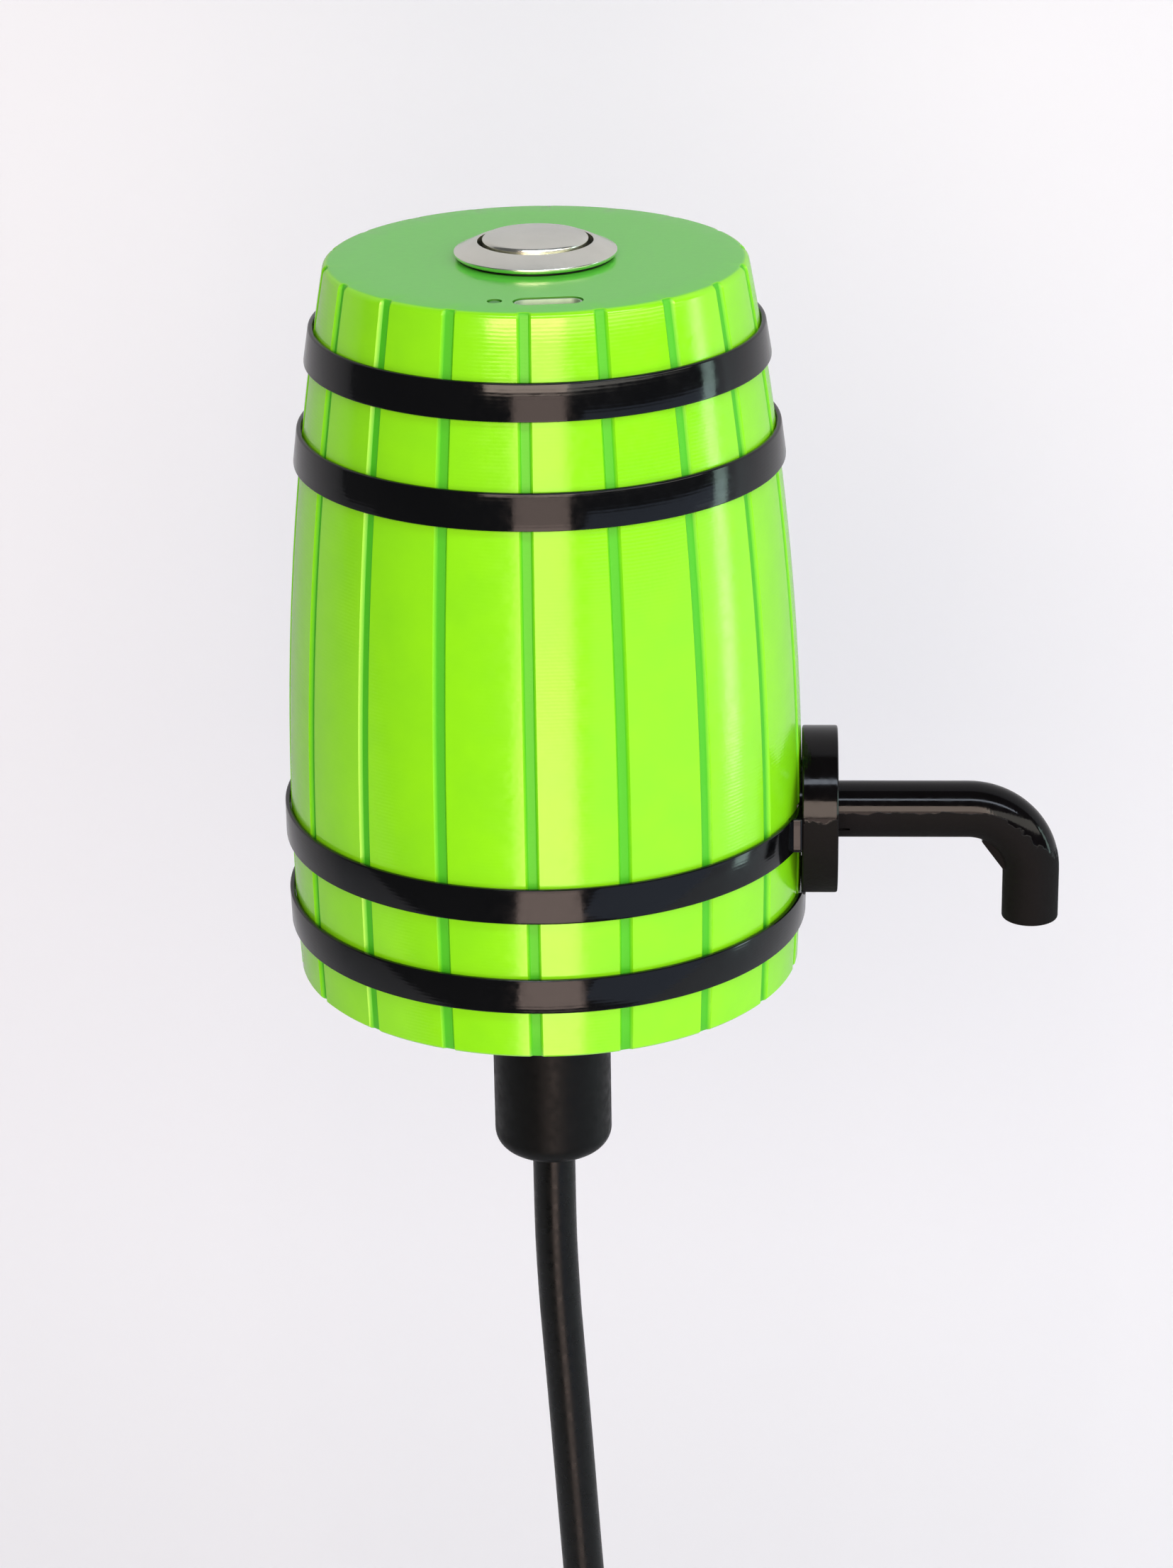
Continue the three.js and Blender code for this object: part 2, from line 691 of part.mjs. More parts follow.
// The lowest hoop is notched where the spout's flange reaches over it.
function notchedHoop(level) {
  return cut(hoop(level), alongSpout(FLANGE_RADIUS + FLANGE_HOOP_GAP, PAD_FACE, FLANGE_FACE));
}

// Base plate, stopper and dip tube

function screw(shank, length, head, headHeight) {
  return revolve([
    [0, 0],
    [head, 0],
    [head, headHeight],
    [shank, headHeight],
    [shank, headHeight + length - shank],
    [0, headHeight + length],
  ], SCREW_SIDES);
}

// Rings of saw-tooth section on a root that stands on zero.
function barb() {
  const pitch = BARB_LENGTH / (BARB_RINGS + 1);
  const crest = HOSE_BORE_RADIUS - FIT_GAP;
  const outline = [[0, -OVERRUN], [BARB_ROOT_RADIUS, -OVERRUN]];
  for (let i = 1; i <= BARB_RINGS; i += 1) {
    outline.push([BARB_ROOT_RADIUS, pitch * i]);
    outline.push([crest, pitch * i]);
  }
  outline.push([BARB_ROOT_RADIUS, BARB_LENGTH], [0, BARB_LENGTH]);
  return revolve(outline, HOSE_SIDES);
}

function pumpCorners() {
  const corners = [];
  for (const x of [-1, 1]) {
    for (const y of [-1, 1]) {
      corners.push([PUMP_OFFSET + x * PUMP_SCREW_X, y * PUMP_SCREW_Y]);
    }
  }
  return corners;
}

// A cup for the cell's foot with a snap mouth down one side.
function cellCradle() {
  const floor = BASE_THICKNESS + CRADLE_FLOOR;
  const high = floor + CRADLE_HEIGHT;
  const inner = CELL_RADIUS + FIT_GAP;
  const outer = inner + CRADLE_WALL;
  const mouth = placed(box(outer, CRADLE_MOUTH, floor, high + OVERRUN), outer / 2, 0);
  const cup = revolve([
    [0, 0],
    [outer, 0],
    [outer, high],
    [inner, high],
    [inner, floor],
    [0, floor],
  ], HIDDEN_SIDES);
  return placed(cut(cup, mouth), -CELL_OFFSET, 0);
}

function basePlate() {
  const radius = sideRadius(0) - WALL - FIT_GAP;
  const headHole = SCREW_HEAD_RADIUS + FIT_GAP;
  const baseScrewHole = () => placed(join(
    rod(BASE_SCREW_SHANK + FIT_GAP, -OVERRUN, BASE_THICKNESS + OVERRUN, HOLE_SIDES),
    rod(headHole, -OVERRUN, COUNTERBORE_DEPTH, HOLE_SIDES),
  ), 0, -BOSS_RING);
  const posts = [];
  const postHoles = [];
  for (const [x, y] of pumpCorners()) {
    const top = PUMP_COVER_LOW - SEAT_GAP;
    posts.push(placed(rod(PUMP_POST_RADIUS, 0, top, SMALL_SIDES), x, y));
    postHoles.push(placed(rod(PUMP_SCREW_SHANK + FIT_GAP, -OVERRUN, top + OVERRUN, HOLE_SIDES), x, y));
    postHoles.push(placed(rod(headHole, -OVERRUN, COUNTERBORE_DEPTH, HOLE_SIDES), x, y));
  }
  return cut(
    join(
      rod(radius, 0, BASE_THICKNESS, CORE_SIDES),
      rod(SPIGOT_RADIUS, -SPIGOT_LENGTH, BASE_THICKNESS, HIDDEN_SIDES),
      placed(barb(), 0, 0, BASE_THICKNESS),
      cellCradle(),
      ...posts,
    ),
    rod(FLOW_RADIUS, -SPIGOT_LENGTH - OVERRUN, BASE_THICKNESS + BARB_LENGTH + OVERRUN, HOSE_SIDES),
    rod(
      DIP_TUBE_RADIUS + FIT_GAP,
      -SPIGOT_LENGTH - OVERRUN,
      TUBE_SOCKET_DEPTH - SPIGOT_LENGTH,
      SMALL_SIDES,
    ),
    placed(
      rod(VENT_RADIUS, -SPIGOT_LENGTH - OVERRUN, BASE_THICKNESS + OVERRUN, WIRE_SIDES),
      0,
      VENT_OFFSET,
    ),
    ...postHoles,
    ...aroundBosses(baseScrewHole),
  );
}

function neckStopper() {
  const high = -SEAT_GAP;
  const low = -STOPPER_LENGTH;
  const floor = -SPIGOT_LENGTH - SEAT_GAP;
  const bore = SPIGOT_RADIUS + FIT_GAP;
  const hole = DIP_TUBE_RADIUS + FIT_GAP;
  const outline = [[bore, high], [STOPPER_RADIUS, high]];
  for (let i = 0; i <= ROUNDING_STEPS; i += 1) {
    const angle = i / ROUNDING_STEPS * Math.PI / 2;
    outline.push([
      STOPPER_RADIUS - STOPPER_CORNER * (1 - Math.cos(angle)),
      low + STOPPER_CORNER * (1 - Math.sin(angle)),
    ]);
  }
  outline.push([hole + STOPPER_LIP, low], [hole, low + STOPPER_LIP], [hole, floor], [bore, floor]);
  const vent = placed(rod(VENT_RADIUS, low - OVERRUN, floor + OVERRUN, WIRE_SIDES), 0, VENT_OFFSET);
  return cut(revolve(closed(outline), HIDDEN_SIDES), vent);
}

// The tube's centre line, chosen by hand: straight out of the stopper, then leaning slightly to the spout's
// side as it hangs.
const DIP_TUBE_ROUTE = [
  [0, 0, -12.4],
  [0, 0, -31],
  [0, 0, -40],
  [0.1, 0, -48],
  [0.5, 0, -58],
  [1.1, 0.1, -68],
  [2.1, 0.1, -85],
  [3.2, 0.2, -104],
  [4.6, 0.3, -125],
  [6.2, 0.4, -148],
  [8, 0.5, -172],
  [10, 0.6, -196],
  [12.3, 0.7, -220],
  [14.9, 0.9, -244],
  [17.8, 1, -268],
];

function dipTube() {
  const route = DIP_TUBE_ROUTE.map(([x, y, z]) => new THREE.Vector3(x, y, z));
  const curve = new THREE.CatmullRomCurve3(route);
  return sweep(DIP_TUBE_RADIUS, HOSE_SIDES, curve.getSpacedPoints(DIP_TUBE_STEPS));
}

// Spout

function spoutStations(start) {
  const centreX = SPOUT_REACH - SPOUT_BEND;
  const centreZ = SPOUT_LEVEL - SPOUT_BEND;
  const stations = [new THREE.Vector3(start, 0, SPOUT_LEVEL)];
  for (let i = 0; i <= SPOUT_BEND_STEPS; i += 1) {
    const angle = i / SPOUT_BEND_STEPS * Math.PI / 2;
    stations.push(new THREE.Vector3(
      centreX + SPOUT_BEND * Math.sin(angle),
      0,
      centreZ + SPOUT_BEND * Math.cos(angle),
    ));
  }
  return stations;
}

// The flat web that bridges the inside of the bend. Its outline lies in the plane of the bend.
function bendWeb() {
  const middle = THREE.MathUtils.degToRad(WEB_MIDDLE_DEG);
  const span = THREE.MathUtils.degToRad(WEB_SPAN_DEG);
  const corner = (angle, away) => new THREE.Vector2(away * Math.sin(angle), away * Math.cos(angle));
  const flat = WEB_REACH / Math.cos(span);
  const outline = new THREE.Shape([
    corner(middle - span, flat),
    corner(middle + span, flat),
    corner(middle + span, WEB_ROOT),
    corner(middle - span, WEB_ROOT),
  ]);
  const web = prism(outline, -WEB_WIDTH / 2, WEB_WIDTH / 2).rotateX(Math.PI / 2);
  return placed(web, SPOUT_REACH - SPOUT_BEND, 0, SPOUT_LEVEL - SPOUT_BEND);
}

// One print: the flange with its collar, the bent tube, and a tail with a barb for the hose.
function spout() {
  const outer = [...spoutStations(SPOUT_INNER_END), new THREE.Vector3(SPOUT_REACH, 0, SPOUT_TIP_LEVEL)];
  const below = new THREE.Vector3(SPOUT_REACH, 0, SPOUT_TIP_LEVEL - OVERRUN);
  const inner = [...spoutStations(SPOUT_INNER_END + OVERRUN), below];
  const flange = revolve([
    [0, FLANGE_BACK - FLANGE_COLLAR_LENGTH],
    [FLANGE_COLLAR_RADIUS, FLANGE_BACK - FLANGE_COLLAR_LENGTH],
    [FLANGE_COLLAR_RADIUS, FLANGE_BACK],
    [FLANGE_RADIUS - FLANGE_EDGE, FLANGE_BACK],
    [FLANGE_RADIUS, FLANGE_BACK + FLANGE_EDGE],
    [FLANGE_RADIUS, FLANGE_FACE - FLANGE_EDGE],
    [FLANGE_RADIUS - FLANGE_EDGE, FLANGE_FACE],
    [0, FLANGE_FACE],
  ], ROUND_SIDES);
  const tail = placed(alongX(barb().rotateX(Math.PI)), SPOUT_INNER_END, 0, SPOUT_LEVEL);
  const tailBore = alongX(rod(
    FLOW_RADIUS,
    SPOUT_INNER_END - BARB_LENGTH - OVERRUN,
    SPOUT_INNER_END + 2 * OVERRUN,
    HOSE_SIDES,
  ));
  return cut(
    join(
      sweep(SPOUT_RADIUS, SPOUT_SIDES, outer),
      placed(alongX(flange), 0, 0, SPOUT_LEVEL),
      bendWeb(),
      tail,
    ),
    sweep(SPOUT_BORE, HOSE_SIDES, inner),
    placed(tailBore, 0, 0, SPOUT_LEVEL),
  );
}

function spoutWasher() {
  const high = PAD_FACE - SEAT_GAP;
  const washer = sleeve(
    SPOUT_RADIUS + FIT_GAP,
    SPOUT_WASHER_RADIUS,
    high - SPOUT_WASHER_THICKNESS,
    high,
    HIDDEN_SIDES,
  );
  return placed(alongX(washer), 0, 0, SPOUT_LEVEL);
}

function hexNut(width, low, high, bore) {
  const corner = width / 2 / Math.cos(Math.PI / 6);
  return cut(
    prism(regularPolygon(corner, 6), low, high),
    rod(bore, low - OVERRUN, high + OVERRUN, ROUND_SIDES),
  );
}

function spoutNut() {
  const high = PAD_FACE - SEAT_GAP - SPOUT_WASHER_THICKNESS - SEAT_GAP;
  const nut = hexNut(SPOUT_NUT_WIDTH, high - SPOUT_NUT_THICKNESS, high, SPOUT_RADIUS + FIT_GAP);
  return placed(alongX(nut), 0, 0, SPOUT_LEVEL);
}

// Push button

function buttonBezel() {
  const low = BUTTON_FLANGE_LOW;
  const blockBore = TERMINAL_BLOCK_RADIUS - WALL / 2;
  return revolve(closed([
    [BUTTON_LIP_RADIUS, BUTTON_LIP_LEVEL],
    [BUTTON_LIP_RADIUS, SHELF_HIGH],
    [CAP_STEM_RADIUS + RUN_GAP, SHELF_HIGH],
    [CAP_STEM_RADIUS + RUN_GAP, SHELF_LOW],
    [blockBore, SHELF_LOW],
    [blockBore, BUTTON_BODY_LOW],
    [BUTTON_BODY_RADIUS, BUTTON_BODY_LOW],
    [BUTTON_BODY_RADIUS, low],
    [BUTTON_FLANGE_RADIUS, low],
    [BUTTON_FLANGE_RADIUS, low + BUTTON_RIM_THICKNESS],
    [BUTTON_LIP_RADIUS + BUTTON_LIP_WIDTH, BUTTON_LIP_LEVEL],
  ]), ROUND_SIDES);
}

// The crown is a shallow arc that rolls over into the skirt.
function buttonCap() {
  const shoulder = CAP_TOP - CAP_CROWN;
  const flat = CAP_RADIUS - CAP_ROUND;
  const outline = [[0, CAP_TOP], [flat / 2, CAP_TOP - CAP_CROWN / 4]];
  for (let i = 0; i <= ROUNDING_STEPS; i += 1) {
    const angle = i / ROUNDING_STEPS * Math.PI / 2;
    outline.push([
      flat + CAP_ROUND * Math.sin(angle),
      shoulder - CAP_ROUND * (1 - Math.cos(angle)),
    ]);
  }
  const groove = CAP_STEM_RADIUS - CLIP_GROOVE_DEPTH;
  outline.push(
    [CAP_RADIUS, CAP_UNDERSIDE],
    [CAP_STEM_RADIUS, CAP_UNDERSIDE],
    [CAP_STEM_RADIUS, CLIP_HIGH + RUN_GAP],
    [groove, CLIP_HIGH + RUN_GAP],
    [groove, CLIP_LOW - RUN_GAP],
    [CAP_STEM_RADIUS, CLIP_LOW - RUN_GAP],
    [CAP_STEM_RADIUS, CONTACT_DISC_HIGH + SEAT_GAP],
    [0, CONTACT_DISC_HIGH + SEAT_GAP],
  );
  return revolve(outline, ROUND_SIDES);
}

// A split ring that snaps into the stem's groove and stops the cap at the top of its travel.
function plungerClip() {
  const inner = CAP_STEM_RADIUS - CLIP_GROOVE_DEPTH + RUN_GAP;
  const outer = CAP_STEM_RADIUS + CLIP_WIDTH;
  const mouth = placed(box(outer, 2 * inner, CLIP_LOW - OVERRUN, CLIP_HIGH + OVERRUN), outer / 2 + inner / 2, 0);
  return cut(sleeve(inner, outer, CLIP_LOW, CLIP_HIGH, SMALL_SIDES), mouth);
}

function movingContact() {
  return rod(CONTACT_DISC_RADIUS, CONTACT_DISC_LOW, CONTACT_DISC_HIGH, SMALL_SIDES);
}

function buttonSpring() {
  const low = SHELF_HIGH + SEAT_GAP + SPRING_WIRE_RADIUS;
  const high = CAP_UNDERSIDE - SEAT_GAP - SPRING_WIRE_RADIUS;
  const steps = SPRING_TURNS * SPRING_TURN_STEPS;
  const stations = [];
  for (let i = 0; i <= steps; i += 1) {
    const angle = i / SPRING_TURN_STEPS * 2 * Math.PI;
    stations.push(new THREE.Vector3(
      SPRING_RADIUS * Math.cos(angle),
      SPRING_RADIUS * Math.sin(angle),
      low + (high - low) * i / steps,
    ));
  }
  return sweep(SPRING_WIRE_RADIUS, SPRING_SIDES, stations);
}

function buttonGasket() {
  const low = BARREL_HEIGHT + SEAT_GAP / 2;
  return sleeve(
    BUTTON_BODY_RADIUS + FIT_GAP,
    BUTTON_GASKET_RADIUS,
    low,
    low + BUTTON_GASKET_THICKNESS,
    ROUND_SIDES,
  );
}

function buttonNut() {
  const high = TOP_UNDERSIDE - SEAT_GAP;
  return hexNut(BUTTON_NUT_WIDTH, high - BUTTON_NUT_THICKNESS, high, BUTTON_BODY_RADIUS + FIT_GAP);
}

function terminalBlock() {
  const spigot = TERMINAL_BLOCK_RADIUS - WALL / 2 - FIT_GAP;
  const bores = [-1, 1].map((side) => placed(
    rod(CONTACT_RADIUS + FIT_GAP, BLOCK_LOW - OVERRUN, BLOCK_HIGH + TERMINAL_BLOCK_SPIGOT + OVERRUN, SMALL_SIDES),
    side * CONTACT_SPACING / 2,
    0,
  ));
  return cut(
    join(
      rod(TERMINAL_BLOCK_RADIUS, BLOCK_LOW, BLOCK_HIGH, HIDDEN_SIDES),
      rod(spigot, BLOCK_LOW, BLOCK_HIGH + TERMINAL_BLOCK_SPIGOT, HIDDEN_SIDES),
    ),
    ...bores,
  );
}

// A contact rivet with a solder tab below.
function buttonTerminal(side) {
  const tab = box(TERMINAL_WIDTH, TERMINAL_THICKNESS, TERMINAL_LOW, BLOCK_LOW + TERMINAL_THICKNESS);
  const rivet = rod(CONTACT_RADIUS, BLOCK_LOW - TERMINAL_THICKNESS, CONTACT_HIGH, SMALL_SIDES);
  return placed(join(rivet, overlap(tab, rod(TERMINAL_WIDTH, TERMINAL_LOW, BLOCK_LOW, WIRE_SIDES))),
    side * CONTACT_SPACING / 2, 0);
}

// Charging socket and board, made facing -Y and turned to the socket's azimuth

function usbSocket() {
  const inner = SOCKET_DEPTH - 2 * SOCKET_WALL;
  const shell = prism(
    roundedRectangle(SOCKET_WIDTH, SOCKET_DEPTH, SOCKET_DEPTH / 2),
    SOCKET_LOW,
    SOCKET_HIGH,
    2 * ROUNDING_STEPS,
  );
  const mouth = prism(
    roundedRectangle(SOCKET_WIDTH - 2 * SOCKET_WALL, inner, inner / 2),
    SOCKET_LOW + SOCKET_BACK,
    SOCKET_HIGH + OVERRUN,
    2 * ROUNDING_STEPS,
  );
  return placed(cut(shell, mouth), 0, -SOCKET_RADIUS);
}

function usbTongue() {
  const low = SOCKET_LOW + SOCKET_BACK + SEAT_GAP;
  return placed(box(TONGUE_WIDTH, TONGUE_DEPTH, low, SOCKET_HIGH - TONGUE_RECESS), 0, -SOCKET_RADIUS);
}

function statusLight() {
  const high = BARREL_HEIGHT - LIGHT_RECESS;
  const low = high - LIGHT_LENGTH;
  return placed(
    join(
      rod(LIGHT_RADIUS, low, high, SMALL_SIDES),
      box(LIGHT_BASE_WIDTH, LIGHT_BASE_WIDTH, low - LIGHT_BASE_HEIGHT, low + LIGHT_BASE_HEIGHT),
    ),
    -LIGHT_OFFSET,
    -(BOARD_FACE + SEAT_GAP + LIGHT_RADIUS),
  );
}

function chargeBoard() {
  const board = box(BOARD_WIDTH, BOARD_THICKNESS, BOARD_LOW, BOARD_HIGH);
  const holes = [-1, 1].map((side) => placed(
    rod(BOARD_SCREW_SHANK + FIT_GAP, -BOARD_THICKNESS, BOARD_THICKNESS, HOLE_SIDES).rotateX(Math.PI / 2),
    side * BLOCK_SPACING / 2,
    0,
    BOARD_SCREW_LEVEL,
  ));
  return placed(cut(board, ...holes), 0, BOARD_THICKNESS / 2 - BOARD_FACE);
}

function boardScrew(side) {
  const whole = screw(BOARD_SCREW_SHANK, BOARD_SCREW_LENGTH, BOARD_SCREW_HEAD, SCREW_HEAD_HEIGHT);
  return placed(
    whole.rotateX(-Math.PI / 2),
    side * BLOCK_SPACING / 2,
    -(BOARD_FACE + SEAT_GAP + SCREW_HEAD_HEIGHT),
    BOARD_SCREW_LEVEL,
  );
}

// Cell

function batteryCell() {
  return placed(revolve([
    [0, CELL_LOW],
    [CELL_RADIUS - CELL_EDGE, CELL_LOW],
    [CELL_RADIUS, CELL_LOW + CELL_EDGE],
    [CELL_RADIUS, CELL_HIGH - CELL_CAP_HEIGHT - CELL_EDGE],
    [CELL_RADIUS - CELL_EDGE, CELL_HIGH - CELL_CAP_HEIGHT],
    [CELL_CAP_RADIUS, CELL_HIGH - CELL_CAP_HEIGHT],
    [CELL_CAP_RADIUS, CELL_HIGH],
    [0, CELL_HIGH],
  ], HIDDEN_SIDES), -CELL_OFFSET, 0);
}

function cellTab(low, side) {
  const reach = CELL_RADIUS + FIT_GAP + 2 * WIRE_RADIUS;
  const tab = box(reach, TAB_WIDTH, low, low + TAB_THICKNESS);
  return placed(tab, reach / 2 - CELL_OFFSET, side * TAB_OFFSET);
}

// Pump

function gearOutline(phase) {
  const pitch = GEAR_PITCH_RADIUS;
  const pressure = THREE.MathUtils.degToRad(GEAR_PRESSURE_DEG);
  const base = pitch * Math.cos(pressure);
  const root = pitch - GEAR_DEDENDUM;
  const involute = (angle) => Math.tan(angle) - angle;
  const halfAtPitch = (Math.PI * GEAR_MODULE / 2 - GEAR_BACKLASH) / (2 * pitch);
  const halfAngle = (radius) => halfAtPitch + involute(pressure) - involute(Math.acos(base / radius));
  const flank = [];
  for (let i = 0; i <= FLANK_STEPS; i += 1) {
    const radius = base + (GEAR_TIP_RADIUS - base) * i / FLANK_STEPS;
    flank.push([radius, halfAngle(radius)]);
  }
  const half = [[root, halfAngle(base)], ...flank];
  const points = [];
  for (let tooth = 0; tooth < GEAR_TEETH; tooth += 1) {
    const centre = (tooth + phase) * 2 * Math.PI / GEAR_TEETH;
    const rising = half.map(([radius, angle]) => [radius, centre - angle]);
    const falling = half.map(([radius, angle]) => [radius, centre + angle]).reverse();
    for (const [radius, angle] of [...rising, ...falling]) {
      points.push(new THREE.Vector2(radius * Math.cos(angle), radius * Math.sin(angle)));
    }
  }
  return new THREE.Shape(points);
}

function gear(bore, phase, y) {
  const low = SPOUT_LEVEL - GEAR_FACE_WIDTH / 2;
  const high = SPOUT_LEVEL + GEAR_FACE_WIDTH / 2;
  const blank = prism(gearOutline(phase), low, high);
  return placed(cut(blank, rod(bore, low - OVERRUN, high + OVERRUN, SMALL_SIDES)), PUMP_OFFSET, y);
}

function pumpBlock(low, high) {
  return placed(
    prism(roundedRectangle(PUMP_SIDE_WIDTH, PUMP_SIDE_LENGTH, PUMP_CORNER), low, high),
    PUMP_OFFSET,
    0,
  );
}

// The space in which both gears turn, with a chamber on each side of the mesh.
function pumpCavity(low, high) {
  return join(
    placed(rod(CAVITY_RADIUS, low, high, HIDDEN_SIDES), PUMP_OFFSET, GEAR_PITCH_RADIUS),
    placed(rod(CAVITY_RADIUS, low, high, HIDDEN_SIDES), PUMP_OFFSET, -GEAR_PITCH_RADIUS),
    placed(box(CHAMBER_LENGTH, CHAMBER_WIDTH, low, high), PUMP_OFFSET, 0),
  );
}

function pumpBody() {
  const blindTop = CAVITY_LOW + PUMP_SCREW_GRIP;
  const cornerHoles = pumpCorners().map(([x, y]) => placed(
    rod(PUMP_SCREW_SHANK + FIT_GAP, CAVITY_LOW - OVERRUN, blindTop, HOLE_SIDES),
    x,
    y,
  ));
  const shoulder = PUMP_ROOF_HIGH - MOTOR_SCREW_SHOULDER;
  const motorScrewHoles = [-1, 1].map((side) => placed(
    join(
      rod(MOTOR_SCREW_HEAD + FIT_GAP, CAVITY_LOW - OVERRUN, shoulder, HOLE_SIDES),
      rod(MOTOR_SCREW_SHANK + FIT_GAP, CAVITY_LOW, PUMP_ROOF_HIGH + OVERRUN, HOLE_SIDES),
    ),
    PUMP_OFFSET + side * MOTOR_SCREW_OFFSET,
    GEAR_PITCH_RADIUS,
  ));
  const sealFloor = PUMP_ROOF_HIGH - MOTOR_BOSS_HEIGHT - 2 * SEAT_GAP - SEAL_HEIGHT - SEAT_GAP;
  const shaftWay = placed(
    join(
      rod(SHAFT_RADIUS + RUN_GAP, CAVITY_LOW, PUMP_ROOF_HIGH + OVERRUN, SMALL_SIDES),
      rod(SEAL_RADIUS + FIT_GAP, sealFloor, PUMP_ROOF_HIGH + OVERRUN, SMALL_SIDES),
    ),
    PUMP_OFFSET,
    GEAR_PITCH_RADIUS,
  );
  const pinSocket = placed(
    rod(SHAFT_RADIUS + FIT_GAP, CAVITY_LOW, CAVITY_HIGH + PIN_GRIP + SEAT_GAP, SMALL_SIDES),
    PUMP_OFFSET,
    -GEAR_PITCH_RADIUS,
  );
  const outlet = placed(alongX(barb()), PUMP_OUTLET_FACE, 0, SPOUT_LEVEL);
  const outletBore = alongX(rod(FLOW_RADIUS, PUMP_OFFSET, PUMP_OUTLET_FACE + BARB_LENGTH + OVERRUN, SMALL_SIDES));
  return cut(
    join(pumpBlock(CAVITY_LOW, PUMP_ROOF_HIGH), outlet),
    pumpCavity(CAVITY_LOW - OVERRUN, CAVITY_HIGH),
    shaftWay,
    pinSocket,
    placed(outletBore, 0, 0, SPOUT_LEVEL),
    ...cornerHoles,
    ...motorScrewHoles,
  );
}

function coverHoles(low, high) {
  return pumpCorners().map(([x, y]) => placed(
    rod(PUMP_SCREW_SHANK + FIT_GAP, low - OVERRUN, high + OVERRUN, HOLE_SIDES),
    x,
    y,
  ));
}

// The cover carries the idler's pin and the inlet, which points down over the barrel's axis.
function pumpCover() {
  const low = PUMP_COVER_LOW;
  const high = low + PUMP_COVER_THICKNESS;
  const inlet = barb().rotateX(Math.PI);
  const pinSocket = rod(SHAFT_RADIUS + FIT_GAP, high - PIN_GRIP - SEAT_GAP, high + OVERRUN, SMALL_SIDES);
  return cut(
    join(pumpBlock(low, high), placed(inlet, 0, 0, low)),
    rod(FLOW_RADIUS, low - BARB_LENGTH - OVERRUN, high + OVERRUN, SMALL_SIDES),
    placed(pinSocket, PUMP_OFFSET, -GEAR_PITCH_RADIUS),
    ...coverHoles(low, high),
  );
}

function idlerPin() {
  const low = PUMP_COVER_LOW + PUMP_COVER_THICKNESS - PIN_GRIP;
  return placed(rod(SHAFT_RADIUS, low, CAVITY_HIGH + PIN_GRIP, SMALL_SIDES), PUMP_OFFSET, -GEAR_PITCH_RADIUS);
}

function shaftSeal() {
  const high = PUMP_ROOF_HIGH - MOTOR_BOSS_HEIGHT - 2 * SEAT_GAP;
  const seal = revolve(closed([
    [SHAFT_RADIUS + RUN_GAP, high - SEAL_HEIGHT],
    [SEAL_RADIUS, high - SEAL_HEIGHT],
    [SEAL_RADIUS, high],
    [SEAL_RADIUS / 2, high],
    [SHAFT_RADIUS + RUN_GAP, high - SEAL_HEIGHT / 2],
  ]), SMALL_SIDES);
  return placed(seal, PUMP_OFFSET, GEAR_PITCH_RADIUS);
}

function suctionHose() {
  const low = BASE_THICKNESS + SEAT_GAP;
  return sleeve(HOSE_BORE_RADIUS, HOSE_OUTER_RADIUS, low, PUMP_COVER_LOW - SEAT_GAP, SMALL_SIDES);
}

function dischargeHose() {
  const low = PUMP_OUTLET_FACE + SEAT_GAP;
  const hose = sleeve(HOSE_BORE_RADIUS, HOSE_OUTER_RADIUS, low, SPOUT_INNER_END - SEAT_GAP, SMALL_SIDES);
  return placed(alongX(hose), 0, 0, SPOUT_LEVEL);
}

// Motor

function motorCan() {
  const can = revolve([
    [0, MOTOR_LOW - MOTOR_BOSS_HEIGHT],
    [MOTOR_BOSS_RADIUS, MOTOR_LOW - MOTOR_BOSS_HEIGHT],
    [MOTOR_BOSS_RADIUS, MOTOR_LOW],
    [MOTOR_RADIUS - MOTOR_ROUND, MOTOR_LOW],
    [MOTOR_RADIUS, MOTOR_LOW + MOTOR_ROUND],
    [MOTOR_RADIUS, MOTOR_HIGH],
    [0, MOTOR_HIGH],
  ], HIDDEN_SIDES);
  const low = MOTOR_LOW - MOTOR_BOSS_HEIGHT;
  const screwHoles = [-1, 1].map((side) => placed(
    rod(MOTOR_SCREW_SHANK + FIT_GAP, low, MOTOR_LOW + MOTOR_SCREW_BITE + SEAT_GAP, HOLE_SIDES),
    side * MOTOR_SCREW_OFFSET,
    0,
  ));
  const shaftHole = rod(SHAFT_RADIUS + RUN_GAP, low - OVERRUN, MOTOR_LOW + SHAFT_IN_MOTOR + SEAT_GAP, SMALL_SIDES);
  return placed(cut(can, shaftHole, ...screwHoles), PUMP_OFFSET, GEAR_PITCH_RADIUS);
}

function motorEndCap() {
  const low = MOTOR_HIGH + SEAT_GAP;
  const slots = [-1, 1].map((side) => placed(
    box(
      MOTOR_TERMINAL_WIDTH + 2 * FIT_GAP,
      MOTOR_TERMINAL_THICKNESS + 2 * FIT_GAP,
      low + SEAT_GAP,
      MOTOR_CAP_HIGH + OVERRUN,
    ),
    side * MOTOR_TERMINAL_OFFSET,
    0,
  ));
  const cap = revolve([
    [0, low],
    [MOTOR_CAP_RADIUS, low],
    [MOTOR_CAP_RADIUS, MOTOR_CAP_HIGH - MOTOR_ROUND],
    [MOTOR_CAP_RADIUS - MOTOR_ROUND, MOTOR_CAP_HIGH],
    [0, MOTOR_CAP_HIGH],
  ], HIDDEN_SIDES);
  return placed(cut(cap, ...slots), PUMP_OFFSET, GEAR_PITCH_RADIUS);
}

function motorTerminal(side) {
  return placed(
    box(
      MOTOR_TERMINAL_WIDTH,
      MOTOR_TERMINAL_THICKNESS,
      MOTOR_HIGH + 3 * SEAT_GAP,
      MOTOR_TERMINAL_HIGH,
    ),
    PUMP_OFFSET + side * MOTOR_TERMINAL_OFFSET,
    GEAR_PITCH_RADIUS,
  );
}

